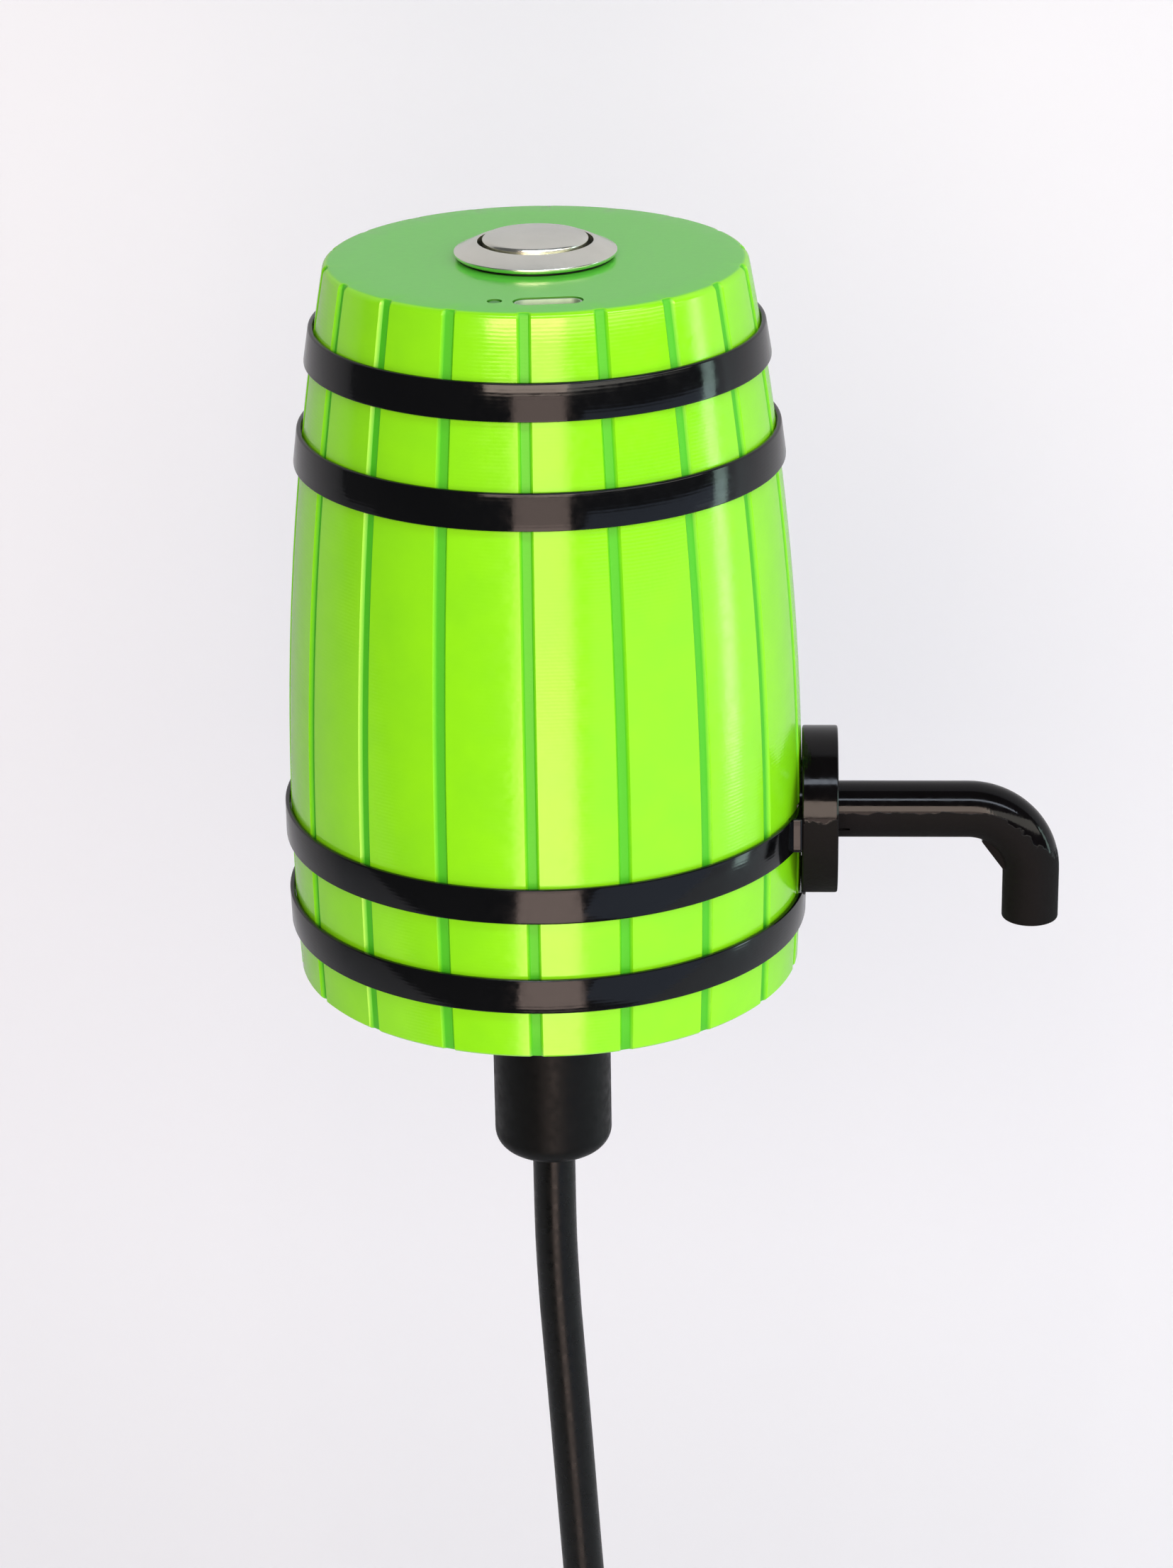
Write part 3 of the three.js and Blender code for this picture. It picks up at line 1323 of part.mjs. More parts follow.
function motorScrew(side) {
  const seat = PUMP_ROOF_HIGH - MOTOR_SCREW_SHOULDER - SEAT_GAP;
  const length = MOTOR_SCREW_SHOULDER + SEAT_GAP + MOTOR_SCREW_BITE;
  return placed(
    screw(MOTOR_SCREW_SHANK, length, MOTOR_SCREW_HEAD, SCREW_HEAD_HEIGHT),
    PUMP_OFFSET + side * MOTOR_SCREW_OFFSET,
    GEAR_PITCH_RADIUS,
    seat - SCREW_HEAD_HEIGHT,
  );
}

function driveShaft() {
  const low = SPOUT_LEVEL - GEAR_FACE_WIDTH / 2;
  return placed(rod(SHAFT_RADIUS, low, MOTOR_LOW + SHAFT_IN_MOTOR, SMALL_SIDES), PUMP_OFFSET, GEAR_PITCH_RADIUS);
}

// Leads

function lead(route) {
  const points = route.map((point) => new THREE.Vector3(...point));
  const curve = new THREE.CatmullRomCurve3(points, false, 'centripetal');
  return sweep(WIRE_RADIUS, WIRE_SIDES, curve.getSpacedPoints(WIRE_STEPS));
}

// The place straight above a point, or below it where the rise is negative.
function above([x, y, z], rise) {
  return [x, y, z + rise];
}

// Where a lead is soldered to the back of the board, counted in spacings from the board's middle.
function boardPad(place) {
  const back = BOARD_FACE - BOARD_THICKNESS - 2 * FIT_GAP - WIRE_RADIUS;
  const pad = new THREE.Vector3(place * PAD_SPACING, -back, BOARD_LOW + PAD_HEIGHT);
  return pad.applyAxisAngle(new THREE.Vector3(0, 0, 1), SOCKET_TURN).toArray();
}

function motorPad(side) {
  return [PUMP_OFFSET + side * MOTOR_TERMINAL_OFFSET, GEAR_PITCH_RADIUS, MOTOR_TERMINAL_HIGH + SEAT_GAP];
}

function buttonPad(side) {
  return [side * CONTACT_SPACING / 2, 0, TERMINAL_LOW - SEAT_GAP];
}

// A lead that climbs the cell's side from a tab before it crosses to the board.
function cellLead(side, low, place) {
  const start = [CELL_RADIUS + FIT_GAP + WIRE_RADIUS - CELL_OFFSET, side * TAB_OFFSET, low];
  const climb = CELL_HIGH - low;
  const end = boardPad(place);
  return lead([
    start,
    above(start, climb + WIRE_LIFT),
    above(start, climb + 2 * WIRE_LIFT),
    above(end, -WIRE_LIFT),
    end,
  ]);
}

function switchLead() {
  return lead([buttonPad(-1), above(buttonPad(-1), -WIRE_DROP), above(boardPad(1), -WIRE_LIFT), boardPad(1)]);
}

function motorReturnLead() {
  return lead([boardPad(2), above(boardPad(2), -WIRE_LIFT), above(motorPad(-1), WIRE_DROP), motorPad(-1)]);
}

function motorFeedLead() {
  return lead([buttonPad(1), above(buttonPad(1), -WIRE_DROP), above(motorPad(1), WIRE_DROP), motorPad(1)]);
}

// Assembly

const pourer = new THREE.Group();
pourer.name = 'electric_cider_pourer';

function addPiece(name, geometry, { colour, roughness, metalness }, parent = pourer) {
  const shape = geometryOf(solidOf(geometry));
  shape.computeVertexNormals();
  const material = new THREE.MeshStandardMaterial({ color: colour, roughness, metalness });
  const piece = new THREE.Mesh(shape, material);
  piece.name = name;
  parent.add(piece);
  return piece;
}

addPiece('barrel_shell', barrelShell(), LIME);
addPiece('head_hoop_top', hoop(HEAD_HOOP_TOP_LEVEL), BLACK_PRINT);
addPiece('quarter_hoop_top', hoop(QUARTER_HOOP_TOP_LEVEL), BLACK_PRINT);
addPiece('quarter_hoop_bottom', luggedHoop(QUARTER_HOOP_BOTTOM_LEVEL), BLACK_PRINT);
addPiece('head_hoop_bottom', notchedHoop(HEAD_HOOP_BOTTOM_LEVEL), BLACK_PRINT);

addPiece('base_plate', basePlate(), BLACK_MATT);
const BASE_SCREW_LEVEL = COUNTERBORE_DEPTH - SEAT_GAP - SCREW_HEAD_HEIGHT;
aroundBosses(() => placed(
  screw(BASE_SCREW_SHANK, BASE_SCREW_LENGTH, SCREW_HEAD_RADIUS, SCREW_HEAD_HEIGHT),
  0,
  -BOSS_RING,
  BASE_SCREW_LEVEL,
))
  .forEach((geometry, i) => addPiece(`base_screw_${i + 1}`, geometry, STEEL));
addPiece('neck_stopper', neckStopper(), BLACK_RUBBER);
addPiece('dip_tube', dipTube(), BLACK_MATT);

addPiece('spout', spout(), BLACK_PRINT);
addPiece('spout_washer', spoutWasher(), STEEL);
addPiece('spout_nut', spoutNut(), STEEL);

addPiece('button_bezel', buttonBezel(), STAINLESS);
addPiece('button_gasket', buttonGasket(), BLACK_RUBBER);
addPiece('button_nut', buttonNut(), STEEL);
addPiece('button_cap', buttonCap(), STAINLESS);
addPiece('button_spring', buttonSpring(), STEEL);
addPiece('plunger_clip', plungerClip(), STEEL);
addPiece('moving_contact', movingContact(), BRASS);
addPiece('terminal_block', terminalBlock(), BLACK_MATT);
addPiece('button_terminal_1', buttonTerminal(-1), BRASS);
addPiece('button_terminal_2', buttonTerminal(1), BRASS);

const boardGroup = new THREE.Group();
boardGroup.rotation.z = SOCKET_TURN;
pourer.add(boardGroup);
addPiece('charge_board', chargeBoard(), BOARD_GREEN, boardGroup);
addPiece('usb_c_socket', usbSocket(), STAINLESS, boardGroup);
addPiece('usb_c_tongue', usbTongue(), BLACK_MATT, boardGroup);
addPiece('status_light', statusLight(), LIGHT_GUIDE, boardGroup);
addPiece('board_screw_1', boardScrew(-1), STEEL, boardGroup);
addPiece('board_screw_2', boardScrew(1), STEEL, boardGroup);

addPiece('battery_cell', batteryCell(), CELL_WRAP);
const TOP_TAB_LEVEL = CELL_HIGH + SEAT_GAP;
const FOOT_TAB_LEVEL = CELL_LOW - SEAT_GAP - TAB_THICKNESS;
addPiece('cell_tab_positive', cellTab(TOP_TAB_LEVEL, 1), STEEL);
addPiece('cell_tab_negative', cellTab(FOOT_TAB_LEVEL, -1), STEEL);
addPiece('cell_lead_positive', cellLead(1, TOP_TAB_LEVEL + TAB_THICKNESS + SEAT_GAP, -1), RED_WIRE);
addPiece('cell_lead_negative', cellLead(-1, FOOT_TAB_LEVEL + TAB_THICKNESS + SEAT_GAP, -2), BLACK_WIRE);
addPiece('switch_lead', switchLead(), RED_WIRE);
addPiece('motor_return_lead', motorReturnLead(), BLACK_WIRE);
addPiece('motor_feed_lead', motorFeedLead(), RED_WIRE);

addPiece('pump_body', pumpBody(), PUMP_WHITE);
addPiece('pump_cover', pumpCover(), PUMP_WHITE);
addPiece('drive_gear', gear(SHAFT_RADIUS + FIT_GAP, 0, GEAR_PITCH_RADIUS), NYLON);
addPiece('idler_gear', gear(SHAFT_RADIUS + RUN_GAP, 1 / 2, -GEAR_PITCH_RADIUS), NYLON);
addPiece('idler_pin', idlerPin(), STEEL);
addPiece('shaft_seal', shaftSeal(), BLACK_RUBBER);
const PUMP_SCREW_LENGTH = CAVITY_LOW + PUMP_SCREW_GRIP - COUNTERBORE_DEPTH - SEAT_GAP;
pumpCorners().forEach(([x, y], i) => addPiece(
  `pump_screw_${i + 1}`,
  placed(
    screw(PUMP_SCREW_SHANK, PUMP_SCREW_LENGTH, SCREW_HEAD_RADIUS, SCREW_HEAD_HEIGHT),
    x,
    y,
    BASE_SCREW_LEVEL,
  ),
  STEEL,
));
addPiece('suction_hose', suctionHose(), CLEAR_HOSE);
addPiece('discharge_hose', dischargeHose(), CLEAR_HOSE);

addPiece('motor_can', motorCan(), STEEL);
addPiece('motor_end_cap', motorEndCap(), NYLON);
addPiece('motor_terminal_1', motorTerminal(-1), BRASS);
addPiece('motor_terminal_2', motorTerminal(1), BRASS);
addPiece('motor_screw_1', motorScrew(-1), STEEL);
addPiece('motor_screw_2', motorScrew(1), STEEL);
addPiece('drive_shaft', driveShaft(), STEEL);

export default pourer;
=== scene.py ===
"""Dresses the electric cider pourer: a staved lime barrel, black hoops, a push button and a bent spout."""

import json
import logging
import math
from dataclasses import dataclass, field, replace
from enum import Enum
from typing import Any

import bmesh
import bpy
from mathutils import Matrix, Vector


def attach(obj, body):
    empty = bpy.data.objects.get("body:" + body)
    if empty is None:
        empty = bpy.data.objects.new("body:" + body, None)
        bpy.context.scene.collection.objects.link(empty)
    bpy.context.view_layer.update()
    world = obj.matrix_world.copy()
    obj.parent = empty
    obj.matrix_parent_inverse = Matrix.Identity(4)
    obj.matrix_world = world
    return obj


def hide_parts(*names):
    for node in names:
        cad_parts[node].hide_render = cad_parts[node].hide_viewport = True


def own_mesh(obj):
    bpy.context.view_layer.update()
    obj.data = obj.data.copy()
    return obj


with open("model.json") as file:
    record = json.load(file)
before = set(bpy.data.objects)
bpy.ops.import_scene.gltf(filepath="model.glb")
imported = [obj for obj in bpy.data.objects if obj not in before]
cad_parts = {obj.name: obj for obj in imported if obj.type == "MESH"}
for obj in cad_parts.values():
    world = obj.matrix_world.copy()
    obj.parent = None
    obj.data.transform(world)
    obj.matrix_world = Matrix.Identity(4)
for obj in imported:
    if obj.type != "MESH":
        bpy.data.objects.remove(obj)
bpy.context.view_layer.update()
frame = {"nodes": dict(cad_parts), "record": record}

LOG = logging.getLogger("cider_pourer")
MM = 0.001
RIGHT_ANGLE = math.pi / 2
# Blender's wave texture repeats once in this length at a scale of 1.
WAVE = math.pi / 10
# Nearly all of Blender's noise lies between these.
NOISE_SPAN = (0.3, 0.7)
# The mesh attribute that says where the grooves and the small openings are, and so where the lime's painted
# shade goes.
GROOVE = "groove"
# Points nearer than this are one, in metres.
SAME_PLACE = 1e-7
# A radius below this lies on the axis, in millimetres.
ON_AXIS = 1e-6
# An eased corner takes at most this share of a side.
EASED_SHARE = 0.45
Point = tuple[float, float, float]
Outline = list[tuple[float, float]]
Lines = tuple[tuple[float, float], ...]
Ring = list[Vector]
Piece = bpy.types.Object
Tree = bpy.types.NodeTree
Node = bpy.types.Node
Material = bpy.types.Material


class Axis(Enum):
    """The direction that a turned piece or a printed layer is stacked along."""

    X = "X"
    Z = "Z"


class Joining(Enum):
    """What a second solid does to the first one."""

    ADD = "UNION"
    CUT = "DIFFERENCE"


class Body(Enum):
    """The bodies that dressed pieces ride on."""

    HOUSING = "housing"
    BUTTON = "button"


def linear(hex_colour: str) -> tuple[float, float, float, float]:
    """Turns an sRGB hex colour to linear light.

    Args:
        hex_colour: Colour as #rrggbb.

    Returns:
        Red, green, blue and alpha, from 0 to 1.
    """
    shares = [int(hex_colour[i:i + 2], 16) / 255 for i in (1, 3, 5)]
    light = [s / 12.92 if s <= 0.04045 else ((s + 0.055) / 1.055) ** 2.4 for s in shares]
    return (light[0], light[1], light[2], 1.0)


def add_node(tree: Tree, kind: str, inputs: dict[Any, Any] | None = None, **settings: Any) -> Node:
    """Adds one node with its settings, its values and its links.

    Args:
        tree: Tree that gets the node.
        kind: Blender's name of the node type.
        inputs: What each input gets, by name or number: a value, a socket, or a node for its first output.
        **settings: Properties of the node itself.

    Returns:
        The new node.
    """
    node = tree.nodes.new(kind)
    for name, value in settings.items():
        setattr(node, name, value)
    for key, value in (inputs or {}).items():
        if isinstance(value, Node):
            value = value.outputs[0]
        if isinstance(value, bpy.types.NodeSocket):
            tree.links.new(value, node.inputs[key])
        else:
            node.inputs[key].default_value = value
    return node


def emptied(owner: Any) -> Tree:
    """Gives a new material or world its nodes.

    Args:
        owner: The material or world.

    Returns:
        Its tree, with nothing in it.
    """
    owner.use_nodes = True
    owner.node_tree.nodes.clear()
    return owner.node_tree


# Finishes


@dataclass(frozen=True)
class Paint:
    """A material while it is being made: its tree, its shader and the places on the piece."""

    tree: Tree
    shader: Node
    place: bpy.types.NodeSocket

    def fed(self, name: str) -> Any:
        """Gives what an input of the shader gets so far: a socket, or its plain value."""
        port = self.shader.inputs[name]
        return port.links[0].from_socket if port.links else port.default_value

    def feed(self, name: str, source: Node, output: Any = 0) -> None:
        """Links one output of a node to an input of the shader."""
        self.tree.links.new(source.outputs[output], self.shader.inputs[name])

    def spots(self, size_mm: float, octaves: float = 2.0, span: tuple[float, float] | None = None) -> Node:
        """Makes an even pattern of soft spots.

        Args:
            size_mm: Size of a spot in millimetres.
            octaves: How much finer noise lies on it.
            span: Values of its low and its high spots. Without it the noise stays as it comes.

        Returns:
            The node that gives the pattern.
        """
        noise = add_node(self.tree, "ShaderNodeTexNoise", {
            "Vector": self.place, "Scale": 1 / (size_mm * MM), "Detail": octaves,
        })
        if span is None:
            return noise
        return add_node(self.tree, "ShaderNodeMapRange", {
            "Value": noise, "From Min": NOISE_SPAN[0], "From Max": NOISE_SPAN[1], "To Min": span[0],
            "To Max": span[1],
        })

    def slope(self) -> bpy.types.NodeSocket:
        """Gives how steeply the surface looks up, from 0 for upright to 1 for level."""
        out = add_node(self.tree, "ShaderNodeTexCoord").outputs["Normal"]
        return add_node(self.tree, "ShaderNodeSeparateXYZ", {0: out}).outputs["Z"]

    def lay_over(self, share: Any, colour: str) -> None:
        """Lays a colour over what the surface has so far.

        Args:
            share: How much of the colour shows, from 0 to 1.
            colour: Hex colour.
        """
        self.feed("Base Color", add_node(self.tree, "ShaderNodeMix", {
            0: share, 6: self.fed("Base Color"), 7: linear(colour),
        }, data_type="RGBA"), 2)

    def raise_up(self, height: Any, depth_mm: float) -> None:
        """Raises a pattern as bump, on top of the bump that is there.

        Args:
            height: Pattern from 0 to 1.
            depth_mm: Height of the pattern in millimetres.
        """
        inputs = {"Height": height, "Distance": depth_mm * MM, "Strength": 1.0}
        if self.shader.inputs["Normal"].links:
            inputs["Normal"] = self.fed("Normal")
        self.feed("Normal", add_node(self.tree, "ShaderNodeBump", inputs))


@dataclass(frozen=True)
class Finish:
    """What every finish has: a name, a colour, how it shines, and how uneven its tone and gloss are."""

    name: str
    colour: str
    roughness: float = 0.5
    metallic: float = 0.0
    ior: float = 1.5
    specular: float = 0.5
    tint: str = "#ffffff"
    # Colour of its patches, their size, how much finer noise lies on them, and how clearly they show.
    second: str = ""
    patch_mm: float = 6.0
    patch_octaves: float = 2.0
    patch_share: float = 1.0
    # Size of its glossier and duller spots, 0 for none, and how far they lie from the roughness.
    gloss_mm: float = 0.0
    glossier: float = 0.0
    duller: float = 0.0

    def material(self) -> Material:
        """Builds the material.

        Returns:
            The material, with its patches, its uneven gloss, and the detail that detail() adds.
        """
        material = bpy.data.materials.new(self.name)
        tree = emptied(material)
        shader = add_node(tree, "ShaderNodeBsdfPrincipled", {
            "Base Color": linear(self.colour), "Roughness": self.roughness, "Metallic": self.metallic,
            "IOR": self.ior, "Specular IOR Level": self.specular, "Specular Tint": linear(self.tint),
        })
        add_node(tree, "ShaderNodeOutputMaterial", {"Surface": shader})
        paint = Paint(tree, shader, add_node(tree, "ShaderNodeTexCoord").outputs["Object"])
        if self.second:
            patches = paint.spots(self.patch_mm, self.patch_octaves, (0.0, self.patch_share))
            paint.lay_over(patches, self.second)
        if self.gloss_mm:
            span = (self.roughness - self.glossier, self.roughness + self.duller)
            paint.feed("Roughness", paint.spots(self.gloss_mm, span=span))
        self.detail(paint)
        return material

    def detail(self, paint: Paint) -> None:
        """Adds nothing to a plain finish."""


@dataclass(frozen=True)
class PrintedPlastic(Finish):
    """Plastic filament printed in layers: fine ridges across the stacking axis and an uneven gloss."""

    patch_mm: float = 7.0
    gloss_mm: float = 1.2
    glossier: float = 0.03
    duller: float = 0.05
    # Painted shade on faces that look up: they close thick layers, and thin side walls let more light
    # through, so the top gets a duller green.
    painted_top_shade: str = ""
    # How steeply a face has to look up for that, where 1 is level.
    top_from: float = 0.88
    # Painted shade inside a groove, where less light gets back out. The mesh says where, in its groove
    # attribute.
    painted_groove_shade: str = ""
    groove_roughness: float = 0.55
    # Painted shade, deeper still, inside the small openings, which let even less light out. The mesh marks
    # them with a 2.
    painted_opening_shade: str = ""
    stacked: Axis = Axis.Z
    # Real layers are about 0.2 mm. They are drawn at 0.5 mm, because finer ones don't show in the render.
    layer_mm: float = 0.5
    ridge_mm: float = 0.006
    pimple_mm: float = 0.7
    pimple_high_mm: float = 0.012

    def detail(self, paint: Paint) -> None:
        """Adds the painted shade on the top, in the grooves and in the openings, the layer ridges and small
        pimples.

        Args:
            paint: The material being made.
        """
        tree = paint.tree
        # Painted shade: faces that look up get a duller green.
        if self.painted_top_shade:
            paint.lay_over(add_node(tree, "ShaderNodeMapRange", {
                "Value": paint.slope(), "From Min": self.top_from,
            }), self.painted_top_shade)
        # Painted shade: deep green in the grooves and a deeper green in the openings, by the groove
        # attribute.
        if self.painted_groove_shade:
            depth = add_node(tree, "ShaderNodeAttribute", attribute_name=GROOVE).outputs["Fac"]
            paint.lay_over(depth, self.painted_groove_shade)
            paint.feed("Roughness", add_node(tree, "ShaderNodeMix", {
                0: depth, 2: paint.fed("Roughness"), 3: self.groove_roughness,
            }))
            paint.lay_over(add_node(tree, "ShaderNodeMath", {0: depth, 1: 1.0}, operation="SUBTRACT",
                                    use_clamp=True), self.painted_opening_shade)
        layers = add_node(tree, "ShaderNodeTexWave", {
            "Vector": paint.place, "Scale": WAVE / (self.layer_mm * MM), "Distortion": 1.2, "Detail": 1.0,
            "Detail Scale": 0.4,
        }, wave_type="BANDS", bands_direction=self.stacked.value)
        paint.raise_up(layers.outputs["Fac"], self.ridge_mm)
        paint.raise_up(paint.spots(self.pimple_mm, 1.0), self.pimple_high_mm)


@dataclass(frozen=True)
class SupportedPrint(PrintedPlastic):
    """A print whose sides stood on supports: glossy above, rough and dull below a ragged edge."""

    rough: float = 0.8
    scar_mm: float = 0.9
    scar_depth_mm: float = 0.09
    # How steeply a face looks up where the supports began, from 0 for upright to 1 for level.
    supported_below: float = 0.2
    # How soft and how ragged the scarred part's edge is, in the same measure, and how large its rags are.
    edge_soft: float = 0.03
    edge_ragged: float = 0.06
    edge_mm: float = 1.6

    def detail(self, paint: Paint) -> None:
        """Adds the print's own detail, and below the ragged edge the scars of the supports.

        Args:
            paint: The material being made.
        """
        super().detail(paint)
        tree = paint.tree
        ragged = paint.spots(self.edge_mm, span=(-self.edge_ragged, self.edge_ragged))
        slope = add_node(tree, "ShaderNodeMath", {0: paint.slope(), 1: ragged}, operation="ADD")
        scarred = add_node(tree, "ShaderNodeMapRange", {
            "Value": slope, "From Min": self.supported_below + self.edge_soft,
            "From Max": self.supported_below,
        })
        paint.feed("Roughness", add_node(tree, "ShaderNodeMix", {
            0: scarred, 2: paint.fed("Roughness"), 3: self.rough,
        }))
        scars = add_node(tree, "ShaderNodeMath", {0: paint.spots(self.scar_mm, 3.0), 1: scarred},
                         operation="MULTIPLY")
        paint.raise_up(scars, self.scar_depth_mm)


@dataclass(frozen=True)
class TurnedMetal(Finish):
    """Stainless steel faced on a lathe: fine rings round the button's axis that spread its highlights."""

    metallic: float = 1.0
    patch_mm: float = 5.0
    patch_octaves: float = 3.0
    gloss_mm: float = 0.6
    glossier: float = 0.04
    duller: float = 0.05
    # The feed marks of a real facing cut are about 0.1 mm apart. They are drawn at 0.35 mm to show at all.
    ring_mm: float = 0.35
    ring_depth_mm: float = 0.0025

    def detail(self, paint: Paint) -> None:
        """Adds the turning rings.

        Args:
            paint: The material being made.
        """
        rings = add_node(paint.tree, "ShaderNodeTexWave", {
            "Vector": paint.place, "Scale": WAVE / (self.ring_mm * MM), "Distortion": 0.4, "Detail": 1.0,
        }, wave_type="RINGS", rings_direction="Z")
        paint.raise_up(rings.outputs["Fac"], self.ring_depth_mm)


@dataclass(frozen=True)
class PlatedMetal(Finish):
    """Pressed or rolled metal with a thin plating: bright, with small clouds and a faint orange peel."""

    metallic: float = 1.0
    second: str = "#8f9296"
    patch_mm: float = 2.5
    patch_octaves: float = 3.0
    gloss_mm: float = 0.9
    glossier: float = 0.06
    duller: float = 0.08
    peel_mm: float = 0.5
    peel_high_mm: float = 0.004

    def detail(self, paint: Paint) -> None:
        """Adds the orange peel."""
        paint.raise_up(paint.spots(self.peel_mm), self.peel_high_mm)


@dataclass(frozen=True)
class MouldedPlastic(Finish):
    """Injection-moulded plastic: the fine spark-eroded grain of the tool and hardly any change of tone."""

    grain_mm: float = 0.5
    grain_depth_mm: float = 0.01

    def detail(self, paint: Paint) -> None:
        """Adds the tool's grain."""
        paint.raise_up(paint.spots(self.grain_mm, 1.0), self.grain_depth_mm)


@dataclass(frozen=True)
class ExtrudedRubber(Finish):
    """Black rubber or soft tube pushed through a die: satin, with long faint draw lines and dull spots."""

    second: str = "#2c2f30"
    patch_mm: float = 2.2
    patch_octaves: float = 3.0
    patch_share: float = 0.7
    gloss_mm: float = 1.4
    glossier: float = 0.07
    duller: float = 0.1
    line_mm: float = 0.8
    line_depth_mm: float = 0.006
    # A draw line is this many times as long as it is wide.
    stretch: float = 25.0

    def detail(self, paint: Paint) -> None:
        """Adds the draw lines.

        Args:
            paint: The material being made.
        """
        drawn = add_node(paint.tree, "ShaderNodeMapping", {
            "Vector": paint.place, "Scale": (1.0, 1.0, 1 / self.stretch),
        }).outputs[0]
        paint.raise_up(replace(paint, place=drawn).spots(self.line_mm), self.line_depth_mm)


@dataclass(frozen=True)
class ClearSilicone(Finish):
    """Milky silicone hose: light passes a little way in, and the surface is slightly tacky and dull."""

    cloudiness: float = 0.35
    ripple_mm: float = 1.5
    ripple_high_mm: float = 0.02

    def detail(self, paint: Paint) -> None:
        """Lets light through and adds a faint ripple."""
        paint.shader.inputs["Transmission Weight"].default_value = 1 - self.cloudiness
        paint.raise_up(paint.spots(self.ripple_mm), self.ripple_high_mm)


@dataclass(frozen=True)
class SolderMask(Finish):
    """Green solder mask over etched copper: broad tracks show as a lighter green in a squared pattern."""

    track: str = "#2f7a4a"
    track_mm: float = 2.4
    copper_mm: float = 0.03

    def detail(self, paint: Paint) -> None:
        """Adds the tracks, raised by the thickness of the copper.

        Args:
            paint: The material being made.
        """
        flat = add_node(paint.tree, "ShaderNodeMapping", {
            "Vector": paint.place, "Rotation": (RIGHT_ANGLE, 0.0, 0.0),
        })
        tracks = add_node(paint.tree, "ShaderNodeTexBrick", {
            "Vector": flat, "Color1": linear("#ffffff"), "Color2": linear("#ffffff"),
            "Mortar": linear("#000000"), "Scale": 1 / (self.track_mm * MM), "Mortar Size": 0.03,
            "Mortar Smooth": 0.2, "Brick Width": 1.7, "Row Height": 0.35,
        }).outputs["Color"]
        paint.lay_over(tracks, self.track)
        paint.raise_up(tracks, self.copper_mm)


@dataclass(frozen=True)
class ContactTongue(Finish):
    """Black nylon tongue of a charging socket with its row of gold contacts, 0.5 mm apart."""

    gold: str = "#d2a94a"
    pitch_mm: float = 0.5
    # Turn of the socket on the barrel's top.
    turn_deg: float = 7.2

    def detail(self, paint: Paint) -> None:
        """Adds the gold stripes along the tongue.

        Args:
            paint: The material being made.
        """
        square = add_node(paint.tree, "ShaderNodeMapping", {
            "Vector": paint.place, "Rotation": (0.0, 0.0, -math.radians(self.turn_deg)),
        })
        stripes = add_node(paint.tree, "ShaderNodeTexWave", {
            "Vector": square, "Scale": WAVE / (self.pitch_mm * MM),
        }, wave_type="BANDS", bands_direction="X").outputs["Fac"]
        gold = add_node(paint.tree, "ShaderNodeMath", {0: stripes, 1: 0.5}, operation="GREATER_THAN")
        paint.lay_over(gold, self.gold)
        paint.feed("Metallic", gold)


# Lime PLA filament, printed upright: glossy and strongly coloured, paler where light catches the staves, with
# painted shade of deep green in the grooves and openings, and a painted duller green on the closed top.
LIME_PLA = PrintedPlastic(
    "lime PLA, printed", "#96fa16", 0.16, ior=1.6, specular=0.9, tint="#ffffc0", second="#90f41a",
    painted_groove_shade="#42ca14", painted_opening_shade="#2c8a14", painted_top_shade="#60d946", ridge_mm=0.004,
    pimple_high_mm=0.008)
# Black PETG filament. It is glossier than PLA, and bright lamps show in it as clear patches.
BLACK_PETG_HOOP = PrintedPlastic(
    "black PETG, printed in rings", "#050608", 0.1, specular=0.42, second="#08090b", ridge_mm=0.002,
    pimple_high_mm=0.003)
# The same filament with its layers across the spout, so highlights along the tube end in a ragged edge.
BLACK_PETG_SPOUT = SupportedPrint(
    "black PETG, printed over supports", "#050405", 0.1, specular=0.25, second="#080608", stacked=Axis.X,
    ridge_mm=0.002, pimple_high_mm=0.003)
# Stainless steel, faced on a lathe and polished: nearly white and warm, and it mirrors the room softly.
STAINLESS = TurnedMetal("stainless steel, turned", "#fafaee", 0.2, second="#f0f0e4")
# Stainless strip, drawn to the socket's shell and tin plated: dull, with a painted green reflection of the
# plastic round it in its colour.
PLATED_SHELL = PlatedMetal("stainless strip, drawn and plated", "#d2e8ce", 0.6, second="#c8dec4")
# Zinc-plated steel of the screws, nuts and spring: a cool mid grey with cloudy patches.
ZINC_STEEL = PlatedMetal("steel, zinc plated", "#b1b3b5", 0.36)
# Bare brass of the contacts, slightly tarnished.
BRASS = PlatedMetal("brass, stamped", "#c9a454", 0.32, second="#a5803a")
# The motor's drawn steel can, darker than the screws.
MOTOR_CAN = PlatedMetal("steel can, drawn and zinc plated", "#a5a7aa", 0.4, second="#8a8c8f")
# Black ABS of the base plate and terminal block, with a dull moulded grain.
BLACK_ABS = MouldedPlastic("black ABS, moulded", "#141516", 0.5, second="#1a1b1c")
# Off-white acetal of the pump: dense, smooth and slightly glossy.
ACETAL = MouldedPlastic("acetal, moulded", "#dcdad2", 0.45, second="#d2cfc4")
# Natural nylon of the gears and the motor's end cap: creamy and a little waxy.
NYLON = MouldedPlastic("natural nylon, moulded", "#ece6d4", 0.5, second="#e2dac4")
# Acrylic of the unlit light guide: green from the lime plastic round it, and painted darker as the shade in
# its hole.
ACRYLIC = MouldedPlastic("milky acrylic, moulded", "#4f9f46", 0.4, second="#47933f", grain_depth_mm=0.003)
# The stopper's soft black rubber: satin, with a faint grey bloom.
STOPPER_RUBBER = ExtrudedRubber("nitrile rubber, moulded", "#040505", 0.42, specular=0.2, second="#0b0d0d")
